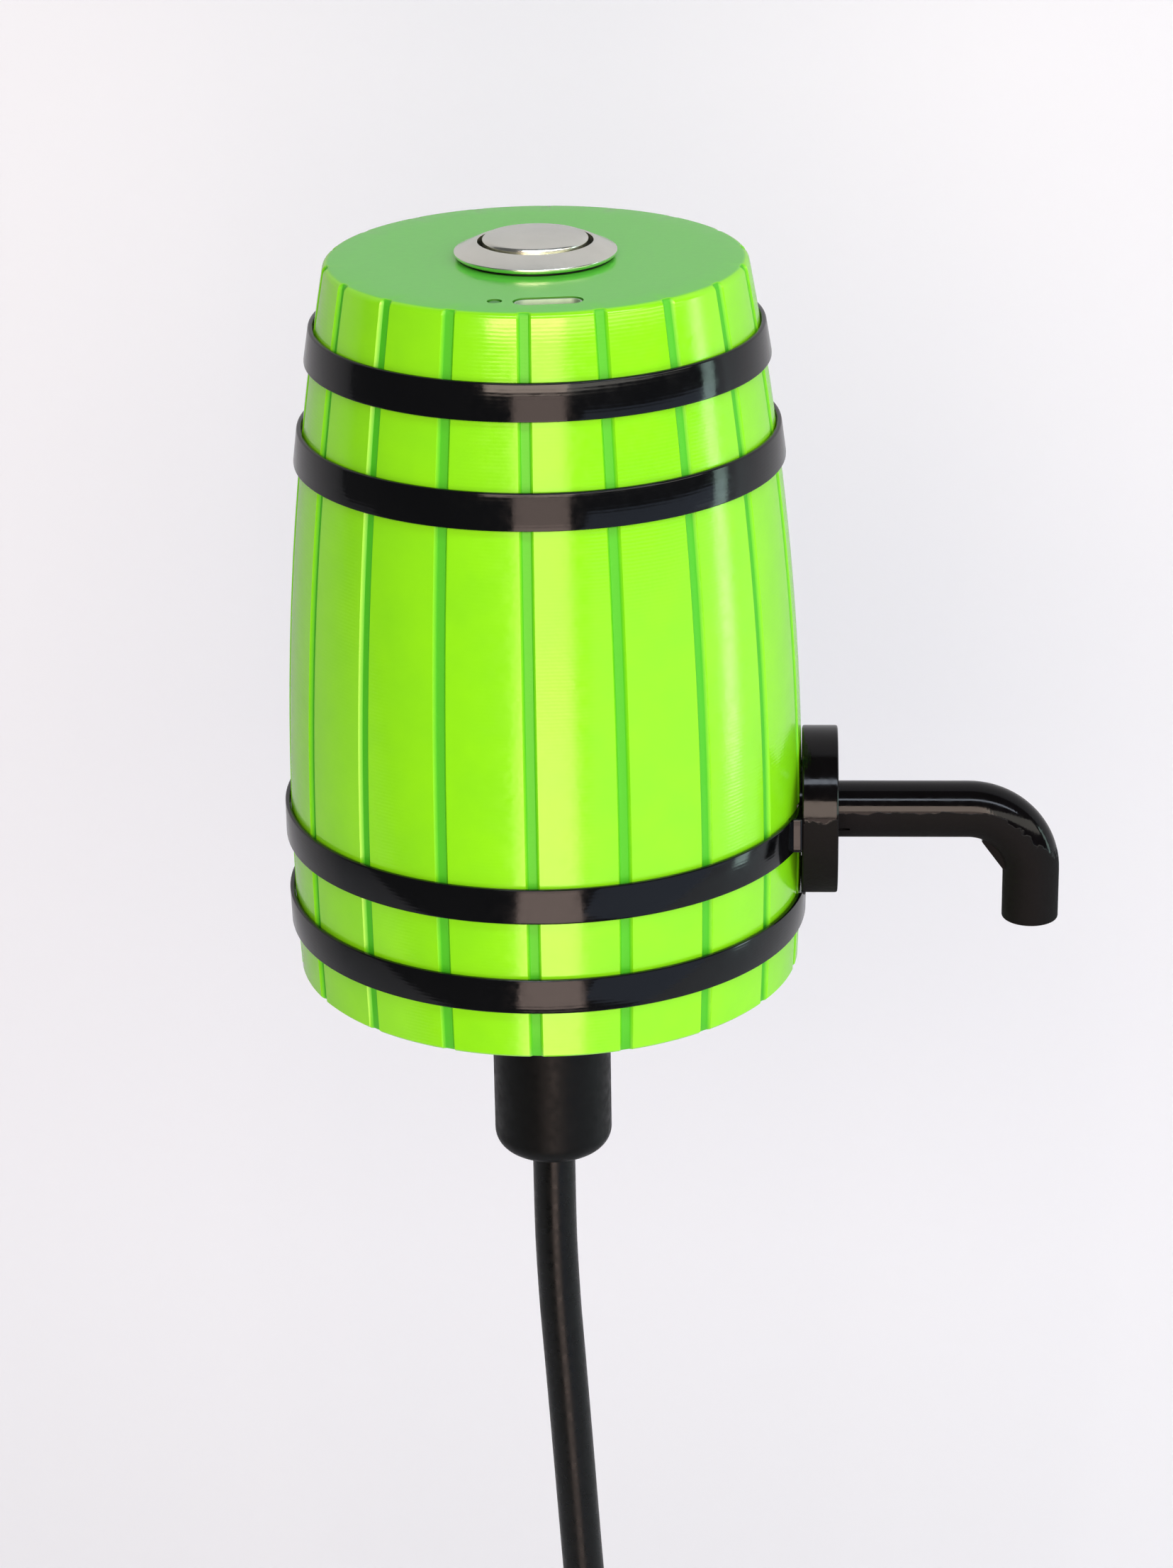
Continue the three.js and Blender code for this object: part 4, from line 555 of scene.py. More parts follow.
# The dip tube: flexible black polyurethane, glossier than the stopper.
TUBE_POLYURETHANE = ExtrudedRubber(
    "black polyurethane tube, extruded", "#050605", 0.3, specular=0.3, second="#0c0e0d")
# Silicone hose inside the barrel: milky and half clear.
SILICONE = ClearSilicone("silicone hose, extruded", "#e6ebe8", 0.4, ior=1.41)
# The charging board: green mask with paler copper below it.
BOARD = SolderMask("glass-epoxy board, solder masked", "#1c5a35", 0.35)
# The cell's shrink sleeve: smooth, glossy blue film.
SHRINK_SLEEVE = MouldedPlastic(
    "blue PVC sleeve, shrunk", "#2a78b0", 0.3, second="#25699b", grain_depth_mm=0.004)
# The leads' silicone sleeves: soft and satin.
RED_SLEEVE = ExtrudedRubber("red silicone sleeve, extruded", "#b0241c", 0.45, second="#b83a30")
BLACK_SLEEVE = ExtrudedRubber("black silicone sleeve, extruded", "#17181a", 0.45)
# The socket's tongue: matt black nylon between bright gilt contacts.
TONGUE = ContactTongue("nylon tongue with gilt contacts", "#161616", 0.4)


# Mesh helpers


def built(name: str, points: list[Vector], faces: list[list[int]]) -> Piece:
    """Makes a mesh object with its faces turned outwards.

    Args:
        name: Name of the object.
        points: Corners in millimetres.
        faces: Corner numbers of each face.

    Returns:
        The object, in the scene, at the origin.
    """
    mesh = bpy.data.meshes.new(name)
    mesh.from_pydata([p * MM for p in points], [], faces)
    shape = bmesh.new()
    shape.from_mesh(mesh)
    bmesh.ops.remove_doubles(shape, verts=shape.verts, dist=SAME_PLACE)
    bmesh.ops.recalc_face_normals(shape, faces=shape.faces)
    shape.to_mesh(mesh)
    shape.free()
    piece = bpy.data.objects.new(name, mesh)
    bpy.context.scene.collection.objects.link(piece)
    return piece


def skinned(name: str, rings: list[Ring], looped: bool = False) -> Piece:
    """Skins a row of rings that have the same number of points.

    Args:
        name: Name of the object.
        rings: The rings in order.
        looped: True where the last ring joins the first one. Otherwise both ends are closed.

    Returns:
        The object.
    """
    sides = len(rings[0])
    points = [p for ring in rings for p in ring]
    faces = []
    for i in range(len(rings) if looped else len(rings) - 1):
        a, b = i * sides, (i + 1) % len(rings) * sides
        faces += [[a + k, a + (k + 1) % sides, b + (k + 1) % sides, b + k] for k in range(sides)]
    if not looped:
        faces.append(list(range(sides)))
        faces.append([len(points) - 1 - k for k in range(sides)])
    return built(name, points, faces)


def round_ring(centre: Vector, out: Vector, across: Vector, radius: float, sides: int) -> Ring:
    """Draws a round ring in the plane of two directions."""
    return [centre + out * (radius * math.cos(a)) + across * (radius * math.sin(a))
            for a in (2 * math.pi * k / sides for k in range(sides))]


def quarter(x: float, z: float, wide: float, high: float, steps: int) -> Outline:
    """Draws a quarter of a round, from beside its centre to above it, or below it where high is negative.

    Args:
        x: Radius at which its centre lies.
        z: Level of its centre.
        wide: Reach beside the centre.
        high: Reach above the centre.
        steps: Lengths that it is drawn with.

    Returns:
        Its points, one more than steps.
    """
    angles = [i / steps * RIGHT_ANGLE for i in range(steps + 1)]
    return [(x + wide * math.cos(a), z + high * math.sin(a)) for a in angles]


def eased(outline: Outline, radius: float, steps: int = 3, closed: bool = True) -> Outline:
    """Rounds the corners of an outline.

    Args:
        outline: Corners of the outline.
        radius: Length that each rounding takes from a side.
        steps: Lengths that each rounding is drawn with.
        closed: False where the two ends are kept as they are.

    Returns:
        The rounded outline.
    """
    result: Outline = []
    count = len(outline)
    for i, point in enumerate(outline):
        if not closed and i in (0, count - 1):
            result.append(point)
            continue
        corner = Vector(point)
        back = Vector(outline[i - 1]) - corner
        ahead = Vector(outline[(i + 1) % count]) - corner
        reach = min(radius, back.length * EASED_SHARE, ahead.length * EASED_SHARE)
        start, end = corner + back.normalized() * reach, corner + ahead.normalized() * reach
        for k in range(steps + 1):
            t = k / steps
            result.append(tuple(start * (1 - t) ** 2 + corner * 2 * t * (1 - t) + end * t ** 2))
    return result


def turned(name: str, outline: Outline, sides: int = 96, axis: Axis = Axis.Z,
           centre: Point = (0.0, 0.0, 0.0)) -> Piece:
    """Turns an outline of radius and height round an axis.

    Args:
        name: Name of the object.
        outline: Radius and height of each corner. It may start and end on the axis.
        sides: Faces round the axis.
        axis: Axis of the lathe.
        centre: Where the axis passes, in millimetres.

    Returns:
        The closed object.
    """
    move = Vector(centre)
    solid = outline[0][0] < ON_AXIS and outline[-1][0] < ON_AXIS
    points: list[Vector] = []
    rows: list[list[int]] = []
    for radius, height in outline:
        row = []
        for k in range(1 if radius < ON_AXIS else sides):
            angle = 2 * math.pi * k / sides
            x, y = radius * math.cos(angle), radius * math.sin(angle)
            place = Vector((x, y, height)) if axis is Axis.Z else Vector((height, y, -x))
            row.append(len(points))
            points.append(place + move)
        rows.append(row)
    faces = []
    for i in range(len(rows) - 1 if solid else len(rows)):
        a, b = rows[i], rows[(i + 1) % len(rows)]
        for k in range(sides):
            corners = [a[k % len(a)], a[(k + 1) % len(a)], b[(k + 1) % len(b)], b[k % len(b)]]
            unique = list(dict.fromkeys(corners))
            if len(unique) > 2:
                faces.append(unique)
    return built(name, points, faces)


def rectangle(near: float, far: float, low: float, high: float) -> Outline:
    """Draws a rectangle, as an outline or as a section to be turned."""
    return [(near, low), (far, low), (far, high), (near, high)]


def rod(radius: float, low: float, high: float, sides: int = 40, axis: Axis = Axis.Z,
        centre: Point = (0.0, 0.0, 0.0)) -> Piece:
    """Makes a round blank for cutting and joining, between two places on its axis."""
    return turned("rod", rectangle(0.0, radius, low, high), sides, axis, centre)


def block(name: str, low: Point, high: Point) -> Piece:
    """Makes a box between two corners, as a blank for cutting and joining."""
    corners = rectangle(low[0], high[0], low[1], high[1])
    return skinned(name, [[Vector((x, y, z)) for x, y in corners] for z in (low[2], high[2])])


def spin(degrees: float, size: int = 3) -> Matrix:
    """Gives a turn round the barrel's axis."""
    return Matrix.Rotation(math.radians(degrees), size, "Z")


def grow(piece: Piece, kind: str, **settings: Any) -> Piece:
    """Applies one modifier and keeps its result as the mesh.

    Args:
        piece: Object to change.
        kind: Blender's name of the modifier type.
        **settings: Properties of the modifier.

    Returns:
        The same object.
    """
    modifier = piece.modifiers.new(kind.lower(), kind)
    for name, value in settings.items():
        setattr(modifier, name, value)
    return settled(piece)


def settled(piece: Piece) -> Piece:
    """Replaces a piece's mesh by its evaluated one and takes its modifiers off.

    Args:
        piece: Object with modifiers.

    Returns:
        The same object.
    """
    graph = bpy.context.evaluated_depsgraph_get()
    mesh = bpy.data.meshes.new_from_object(piece.evaluated_get(graph), depsgraph=graph)
    piece.modifiers.clear()
    piece.data = mesh
    return piece


def combined(piece: Piece, joining: Joining, *others: Piece) -> Piece:
    """Joins or cuts a piece with others, which are used up.

    Args:
        piece: Object that stays.
        joining: Whether the others are added or cut away.
        *others: Closed objects.

    Returns:
        The piece.
    """
    for other in others:
        grow(piece, "BOOLEAN", object=other, operation=joining.value, solver="EXACT")
        bpy.data.objects.remove(other)
    return piece


def smoothed(piece: Piece, angle_deg: float = 32.0) -> Piece:
    """Shades a piece smooth, but keeps its sharp edges.

    Args:
        piece: Object to shade.
        angle_deg: Edges sharper than this stay sharp.

    Returns:
        The piece.
    """
    shape = bmesh.new()
    shape.from_mesh(piece.data)
    bmesh.ops.remove_doubles(shape, verts=shape.verts, dist=2 * SAME_PLACE)
    bmesh.ops.dissolve_degenerate(shape, edges=shape.edges, dist=SAME_PLACE)
    shape.to_mesh(piece.data)
    shape.free()
    piece.data.shade_smooth()
    piece.data.set_sharp_from_angle(angle=math.radians(angle_deg))
    return piece


def dressed(piece: Piece, finish: Finish, slot: str, body: Body, *nodes: str) -> Piece:
    """Gives a piece its finish, sets it on its body and hides the solids that it stands for.

    Args:
        piece: Finished object.
        finish: Its finish.
        slot: The record's material slot. It is not used.
        body: Body that it rides on.
        *nodes: Solids that it stands for.

    Returns:
        The piece.
    """
    piece.data.materials.clear()
    piece.data.materials.append(material_of(finish))
    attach(piece, body.value)
    if nodes:
        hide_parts(*nodes)
    LOG.info("%s: %d faces, %s", piece.name, len(piece.data.polygons), finish.name)
    return piece


MADE: dict[str, Material] = {}


def material_of(finish: Finish) -> Material:
    """Builds a finish's material once and gives it again afterwards.

    Args:
        finish: The finish.

    Returns:
        Its material.
    """
    if finish.name not in MADE:
        MADE[finish.name] = finish.material()
    return MADE[finish.name]


# Geometry Nodes trees


def new_tree(name: str, inputs: dict[str, str]) -> tuple[Tree, Any]:
    """Starts a Geometry Nodes tree that takes a mesh, named inputs and a finish.

    Args:
        name: Name of the tree.
        inputs: Kind of each named input.

    Returns:
        The tree, and the sockets of what it is given.
    """
    tree = bpy.data.node_groups.new(name, "GeometryNodeTree")
    for label, kind in {"Geometry": "Geometry", **inputs, "Finish": "Material"}.items():
        tree.interface.new_socket(label, in_out="INPUT", socket_type="NodeSocket" + kind)
    tree.interface.new_socket("Geometry", in_out="OUTPUT", socket_type="NodeSocketGeometry")
    return tree, add_node(tree, "NodeGroupInput").outputs


def ended(tree: Tree, given: Any, shape: Node) -> Tree:
    """Ends a tree: its instances become real mesh and get the finish.

    Args:
        tree: Tree to end.
        given: Sockets of what it is given.
        shape: Node that makes the shape.

    Returns:
        The tree.
    """
    real = add_node(tree, "GeometryNodeRealizeInstances", {"Geometry": shape})
    done = add_node(tree, "GeometryNodeSetMaterial", {"Geometry": real, "Material": given["Finish"]})
    add_node(tree, "NodeGroupOutput", {0: done})
    return tree


def stave_tree() -> Tree:
    """Builds the cooper's rule: one stave, repeated round the barrel and joined edge to edge.

    Returns:
        The tree, with inputs Staves, First Angle, Join Distance and Finish.
    """
    tree, given = new_tree("staves round a barrel", {
        "Staves": "Int", "First Angle": "Float", "Join Distance": "Float",
    })
    row = add_node(tree, "GeometryNodeMeshLine", {"Count": given["Staves"], "Offset": (0.0, 0.0, 0.0)})
    number = add_node(tree, "GeometryNodeInputIndex")
    share = add_node(tree, "ShaderNodeMath", {0: number, 1: given["Staves"]}, operation="DIVIDE")
    angle = add_node(tree, "ShaderNodeMath", {0: share, 1: 2 * math.pi, 2: given["First Angle"]},
                     operation="MULTIPLY_ADD")
    turn = add_node(tree, "ShaderNodeCombineXYZ", {"Z": angle})
    staves = add_node(tree, "GeometryNodeInstanceOnPoints", {
        "Points": row, "Instance": given["Geometry"], "Rotation": turn,
    })
    real = add_node(tree, "GeometryNodeRealizeInstances", {"Geometry": staves})
    return ended(tree, given, add_node(tree, "GeometryNodeMergeByDistance", {
        "Geometry": real, "Distance": given["Join Distance"],
    }))


def screws_tree() -> Tree:
    """Builds the rule for a set of like screws: one on each point of the mesh.

    Returns:
        The tree, with inputs Screw, Spin and Finish.
    """
    tree, given = new_tree("screws at their holes", {"Screw": "Object", "Spin": "Float"})
    screw = add_node(tree, "GeometryNodeObjectInfo", {"Object": given["Screw"]}).outputs["Geometry"]
    number = add_node(tree, "GeometryNodeInputIndex")
    angle = add_node(tree, "ShaderNodeMath", {0: number, 1: given["Spin"]}, operation="MULTIPLY")
    turn = add_node(tree, "ShaderNodeCombineXYZ", {"Z": angle})
    points = add_node(tree, "GeometryNodeMeshToPoints", {"Mesh": given["Geometry"]})
    return ended(tree, given, add_node(tree, "GeometryNodeInstanceOnPoints", {
        "Points": points, "Instance": screw, "Rotation": turn,
    }))


def spring_tree() -> Tree:
    """Builds the rule for a compression spring: a round wire along a helix.

    Returns:
        The tree, with inputs Turns, Radius, Height, Low, Wire Radius and Finish.
    """
    tree, given = new_tree("wire wound to a spring", {
        name: "Float" for name in ("Turns", "Radius", "Height", "Low", "Wire Radius")
    })
    helix = add_node(tree, "GeometryNodeCurveSpiral", {
        "Resolution": 40, "Rotations": given["Turns"], "Start Radius": given["Radius"],
        "End Radius": given["Radius"], "Height": given["Height"],
    })
    lift = add_node(tree, "ShaderNodeCombineXYZ", {"Z": given["Low"]})
    raised = add_node(tree, "GeometryNodeTransform", {"Geometry": helix, "Translation": lift})
    section = add_node(tree, "GeometryNodeCurvePrimitiveCircle", {
        "Resolution": 10, "Radius": given["Wire Radius"],
    })
    return ended(tree, given, add_node(tree, "GeometryNodeCurveToMesh", {
        "Curve": raised, "Profile Curve": section, "Fill Caps": True,
    }))


def grown(piece: Piece, tree: Tree, values: dict[str, Any]) -> Piece:
    """Runs a tree on a piece and keeps the plain mesh.

    Args:
        piece: Object whose mesh goes in.
        tree: The tree.
        values: Value of each named input.

    Returns:
        The same object.
    """
    modifier = piece.modifiers.new(tree.name, "NODES")
    modifier.node_group = tree
    for item in tree.interface.items_tree:
        if item.item_type == "SOCKET" and item.in_out == "INPUT" and item.name in values:
            modifier[item.identifier] = values[item.name]
    return settled(piece)


# Sub-assemblies


@dataclass
class BarrelForm:
    """The barrel's outline and the places on it that several pieces share. Millimetres."""

    height: float = 102.0
    belly_radius: float = 36.0
    belly_height: float = 22.0
    arc_radius: float = 433.255
    wall: float = 2.4
    top_thickness: float = 2.6
    spout_level: float = 22.0
    collar_hole: float = 6.15
    boss_ring: float = 29.0
    boss_turns: tuple[float, ...] = (45.0, 135.0, 225.0, 315.0)

    def radius_at(self, level: float) -> float:
        """Gives the outside radius at a level."""
        rise = level - self.belly_height
        return self.belly_radius - self.arc_radius + math.sqrt(self.arc_radius ** 2 - rise ** 2)

    def side(self, offset: float, start: float, end: float, steps: int) -> Outline:
        """Draws the side from one level to another, moved outwards by an offset."""
        levels = [start + (end - start) * i / steps for i in range(steps + 1)]
        return [(self.radius_at(z) + offset, z) for z in levels]

    def boss_centre(self, turn: float) -> Point:
        """Gives the centre of the screw boss at a turn round the barrel's axis."""
        return tuple(spin(turn) @ Vector((0.0, -self.boss_ring, 0.0)))

    def along_spout(self, radius: float, reach: tuple[float, float], sides: int = 96) -> Piece:
        """Draws a round cutter along the spout."""
        return rod(radius, *reach, sides, Axis.X, (0.0, 0.0, self.spout_level))


@dataclass
class ChargePlace:
    """Where the charging socket and its light come through the top. Millimetres."""

    turn_deg: float = 7.2
    radius: float = 22.5
    width: float = 8.94
    depth: float = 3.2
    clearance: float = 0.3
    light_radius: float = 0.85
    light_offset: float = 6.9
    light_reach: float = 21.75
    fit: float = 0.15
    steps: int = 10

    def ring(self, grown_by: float, level: float) -> Ring:
        """Draws the socket's stadium, wider or narrower all round.

        Args:
            grown_by: How much wider and deeper it is than the socket.
            level: Level of the ring.

        Returns:
            The ring's points.
        """
        width, depth = self.width + grown_by, self.depth + grown_by
        ring = []
        for side in (1, -1):
            for k in range(self.steps + 1):
                angle = math.pi * k / self.steps - RIGHT_ANGLE
                x = side * ((width - depth) / 2 + depth / 2 * math.cos(angle))
                y = side * depth / 2 * math.sin(angle)
                ring.append(spin(self.turn_deg) @ Vector((x, y - self.radius, level)))
        return ring

    def light_centre(self) -> Vector:
        """Gives the light's centre, seen from above."""
        return spin(self.turn_deg) @ Vector((-self.light_offset, -self.light_reach, 0.0))


@dataclass
class Barrel:
    """The printed barrel: eighteen staves with a groove at each joint, and a flat top. Millimetres."""

    form: BarrelForm
    charge: ChargePlace
    staves: int = 18
    outer_levels: int = 30
    inner_levels: int = 8
    stave_steps: int = 8
    join_distance: float = 0.002
    groove_width: float = 1.9
    groove_depth: float = 0.45
    groove_wall: float = 0.4
    groove_margin: float = 0.12
    rim_round: float = 0.8
    rim_steps: int = 6
    foot_round: float = 0.35
    # How much of its depth a groove still has at the rounded foot.
    foot_share: float = 0.6
    top_rings: tuple[float, ...] = (24.0, 19.0, 14.0)
    under_ring: float = 18.0
    # Band at the rim and at the button that holds none of the small openings.
    plain_band: float = 1.2
    # A face is upright where its unit normal rises less than this.
    upright_below: float = 0.5
    # The grooves' marks end this far below the top.
    marked_below: float = 0.1
    button_hole: float = 9.55
    hole_edge: float = 0.25
    pad_radius: float = 9.5
    pad_reach: tuple[float, float] = (31.0, 34.0)
    boss_radius: float = 3.2
    boss_bore: float = 1.15
    boss_edge: float = 0.3
    boss_low: float = 3.1
    boss_height: float = 11.0
    web_half: float = 1.2
    # How far outside the bosses' ring the webs start and end.
    web_reach: tuple[float, float] = (2.4, 5.2)
    # Where the cutters start and end: above the top's level, and along the spout.
    top_cut: tuple[float, float] = (-4.0, 1.0)
    spout_cut: tuple[float, float] = (30.0, 37.0)

    def depth_at(self, along: float) -> float:
        """Gives how deep the groove is at a distance along the arc from its middle."""
        inwards = self.groove_width / 2 - along
        return self.groove_depth * min(1.0, max(0.0, inwards) / self.groove_wall)

    def columns(self) -> list[tuple[float, float]]:
        """Gives the columns of a stave's mesh.

        Returns:
            Each column's arc distance from the near groove with the side as -1 or 1, or -1 with the share
            across the stave.
        """
        half = self.groove_width / 2
        edge = [0.0, half - self.groove_wall, half - self.groove_wall / 2, half, half + self.groove_margin]
        middle = [(-1.0, (i + 1) / (self.stave_steps + 1)) for i in range(self.stave_steps)]
        return [(e, -1.0) for e in edge] + middle + [(e, 1.0) for e in edge[::-1]]

    def section(self) -> list[tuple[float, float, float]]:
        """Draws the closed section of the shell and its top.

        Returns:
            Radius, level, and share of the groove's depth, of each point.
        """
        form = self.form
        side = form.side(0.0, self.foot_round, form.height - self.rim_round, self.outer_levels)
        rows = [(radius, level, 1.0) for radius, level in side]
        for i in range(1, self.rim_steps + 1):
            angle = i / self.rim_steps * RIGHT_ANGLE
            level = form.height - self.rim_round * (1 - math.sin(angle))
            inset = self.rim_round * (1 - math.cos(angle))
            rows.append((form.radius_at(level) - inset, level, math.cos(angle)))
        under = form.height - form.top_thickness
        plain = [(radius, form.height) for radius in (*self.top_rings, self.button_hole + self.hole_edge)]
        plain += [(self.button_hole, form.height - self.hole_edge), (self.button_hole, under)]
        plain += [(self.under_ring, under)] + form.side(-form.wall, under, 0.0, self.inner_levels)
        foot = form.radius_at(0.0) - self.foot_round
        plain.append((foot - self.groove_depth, 0.0))
        return rows + [(radius, level, 0.0) for radius, level in plain] + [(foot, 0.0, self.foot_share)]

    def stave(self) -> Piece:
        """Draws one stave, from the middle of a groove to the middle of the next.

        Returns:
            The stave, open along its two joints.
        """
        pitch = 2 * math.pi / self.staves
        columns, section = self.columns(), self.section()
        points = []
        for edge, share in columns:
            for radius, level, depth_share in section:
                cut, margin = 0.0, (self.groove_width / 2 + self.groove_margin) / radius
                angle = margin + (pitch - 2 * margin) * share
                if edge >= 0:
                    cut = self.depth_at(edge) * depth_share
                    angle = min(edge / radius, margin)
                    angle = angle if share < 0 else pitch - angle
                reach = radius - cut
                points.append(Vector((reach * math.sin(angle), -reach * math.cos(angle), level)))
        rows = len(section)
        faces = []
        for i in range(len(columns) - 1):
            for k in range(rows):
                a, b = i * rows + k, i * rows + (k + 1) % rows
                faces.append([a, a + rows, b + rows, b])
        return built("barrel", points, faces)

    def fittings(self) -> list[Piece]:
        """Draws what stands on the inner wall: four screw bosses and the pad behind the spout.

        Returns:
            The pieces to join to the barrel.
        """
        low, high = self.boss_low, self.boss_low + self.boss_height
        section = eased(rectangle(self.boss_bore, self.boss_radius, low, high), self.boss_edge)
        near, far = (-self.form.boss_ring - reach for reach in self.web_reach)
        pieces = []
        for turn in self.form.boss_turns:
            web = block("web", (-self.web_half, far, low), (self.web_half, near, high))
            web.data.transform(spin(turn, 4))
            pieces += [turned("boss", section, sides=32, centre=self.form.boss_centre(turn)), web]
        pad = rectangle(self.form.collar_hole, self.pad_radius, *self.pad_reach)
        centre = (0.0, 0.0, self.form.spout_level)
        return pieces + [turned("pad", pad, sides=64, axis=Axis.X, centre=centre)]

    def build(self) -> Piece:
        """Builds the barrel from one stave and cuts the openings.

        Returns:
            The dressed barrel.
        """
        barrel = grown(self.stave(), stave_tree(), {
            "Staves": self.staves, "First Angle": 0.0, "Join Distance": self.join_distance * MM,
            "Finish": material_of(LIME_PLA),
        })
        form, charge = self.form, self.charge
        low, high = (form.height + level for level in self.top_cut)
        slot = skinned("slot", [charge.ring(charge.clearance, level) for level in (low, high)])
        hole = rod(charge.light_radius + charge.fit, low, high, sides=32, centre=tuple(charge.light_centre()))
        collar = form.along_spout(form.collar_hole, self.spout_cut, sides=64)
        combined(barrel, Joining.ADD, *self.fittings())
        combined(barrel, Joining.CUT, collar, slot, hole)
        self.mark_grooves(smoothed(barrel))
        return dressed(barrel, LIME_PLA, "lime_print", Body.HOUSING, "barrel_shell")

    def mark_grooves(self, barrel: Piece) -> None:
        """Writes how deep in a groove each corner of a face lies, from 0 to 1, and 2 in the small openings.

        Args:
            barrel: The finished barrel.
        """
        form, mesh = self.form, barrel.data
        marks = mesh.attributes.new(GROOVE, "FLOAT", "CORNER")
        pitch = 2 * math.pi / self.staves
        depths = []
        for point in mesh.vertices:
            x, y, z = point.co / MM
            radius, angle = math.hypot(x, y), math.atan2(x, -y) % pitch
            outside = radius > form.radius_at(z) - self.rim_round - self.groove_depth
            share = self.depth_at(min(angle, pitch - angle) * radius) / self.groove_depth
            depths.append(share if outside and z < form.height - self.marked_below else 0.0)
        inner, outer = self.button_hole + self.plain_band, form.radius_at(form.height) - self.plain_band
        for face in mesh.polygons:
            x, y, z = face.center / MM
            upright = abs(face.normal.z) < self.upright_below and z > form.height - form.top_thickness
            opening = upright and inner < math.hypot(x, y) < outer
            for k in face.loop_indices:
                marks.data[k].value = 2.0 if opening else depths[mesh.loops[k].vertex_index]


@dataclass
class Hoops:
    """Four printed hoops. The one at the spout has flat lugs, and the lowest is notched. Millimetres."""

    form: BarrelForm
    height: float = 5.0
    proud: float = 0.83
    fit: float = 0.15
    edge: float = 0.28
    lug_back: float = 31.0
    lug_face: float = 36.0
    lug_half: float = 12.0
    flange_notch: float = 12.15
    # How far cutters reach past a hoop's edges, and where they start and end in front of the barrel.
    past: float = 2.0
    ahead: float = 40.0
    ahead_half: float = 20.0
    collar_cut: tuple[float, float] = (20.0, 40.0)
    notch_cut: tuple[float, float] = (31.0, 42.0)
    sides: int = 144
    places: dict[str, float] = field(default_factory=lambda: {
        "head_hoop_top": 90.9, "quarter_hoop_top": 76.8, "quarter_hoop_bottom": 22.75,
        "head_hoop_bottom": 9.5,
    })

    def band(self, name: str, level: float) -> Piece:
        """Draws a plain hoop that follows the slope of the side.

        Args:
            name: Name of the hoop.
            level: Level of its middle.

        Returns:
            The hoop.
        """
        low, high = level - self.height / 2, level + self.height / 2
        section = self.form.side(self.fit, high, low, 1) + self.form.side(self.proud, low, high, 1)
        return turned(name, eased(section, self.edge), self.sides)

    def lugged(self, name: str, level: float) -> Piece:
        """Draws the hoop whose lugs carry the spout's flange.

        Args:
            name: Name of the hoop.
            level: Level of its middle.

        Returns:
            The hoop.
        """
        low, high = level - self.height / 2, level + self.height / 2
        under, over = low - self.past, high + self.past
        lug = block("lug", (self.lug_back, -self.lug_half, low), (self.lug_face, self.lug_half, high))
        grow(lug, "BEVEL", width=self.edge * MM, segments=3, limit_method="ANGLE")
        core = [(0.0, under)] + self.form.side(self.fit, under, over, steps=6) + [(0.0, over)]
        combined(lug, Joining.CUT, turned("core", core, self.sides))
        ahead = block("ahead", (self.lug_face, -self.ahead_half, under), (self.ahead, self.ahead_half, over))
        collar = self.form.along_spout(self.form.collar_hole, self.collar_cut)
        return combined(combined(self.band(name, level), Joining.ADD, lug), Joining.CUT, ahead, collar)

    def build(self) -> None:
        """Builds the four hoops."""
        for name, level in self.places.items():
            draw = self.lugged if name == "quarter_hoop_bottom" else self.band
            hoop = draw(name + "_print", level)
            if name == "head_hoop_bottom":
                combined(hoop, Joining.CUT, self.form.along_spout(self.flange_notch, self.notch_cut))
            dressed(smoothed(hoop), BLACK_PETG_HOOP, "black_print", Body.HOUSING, name)


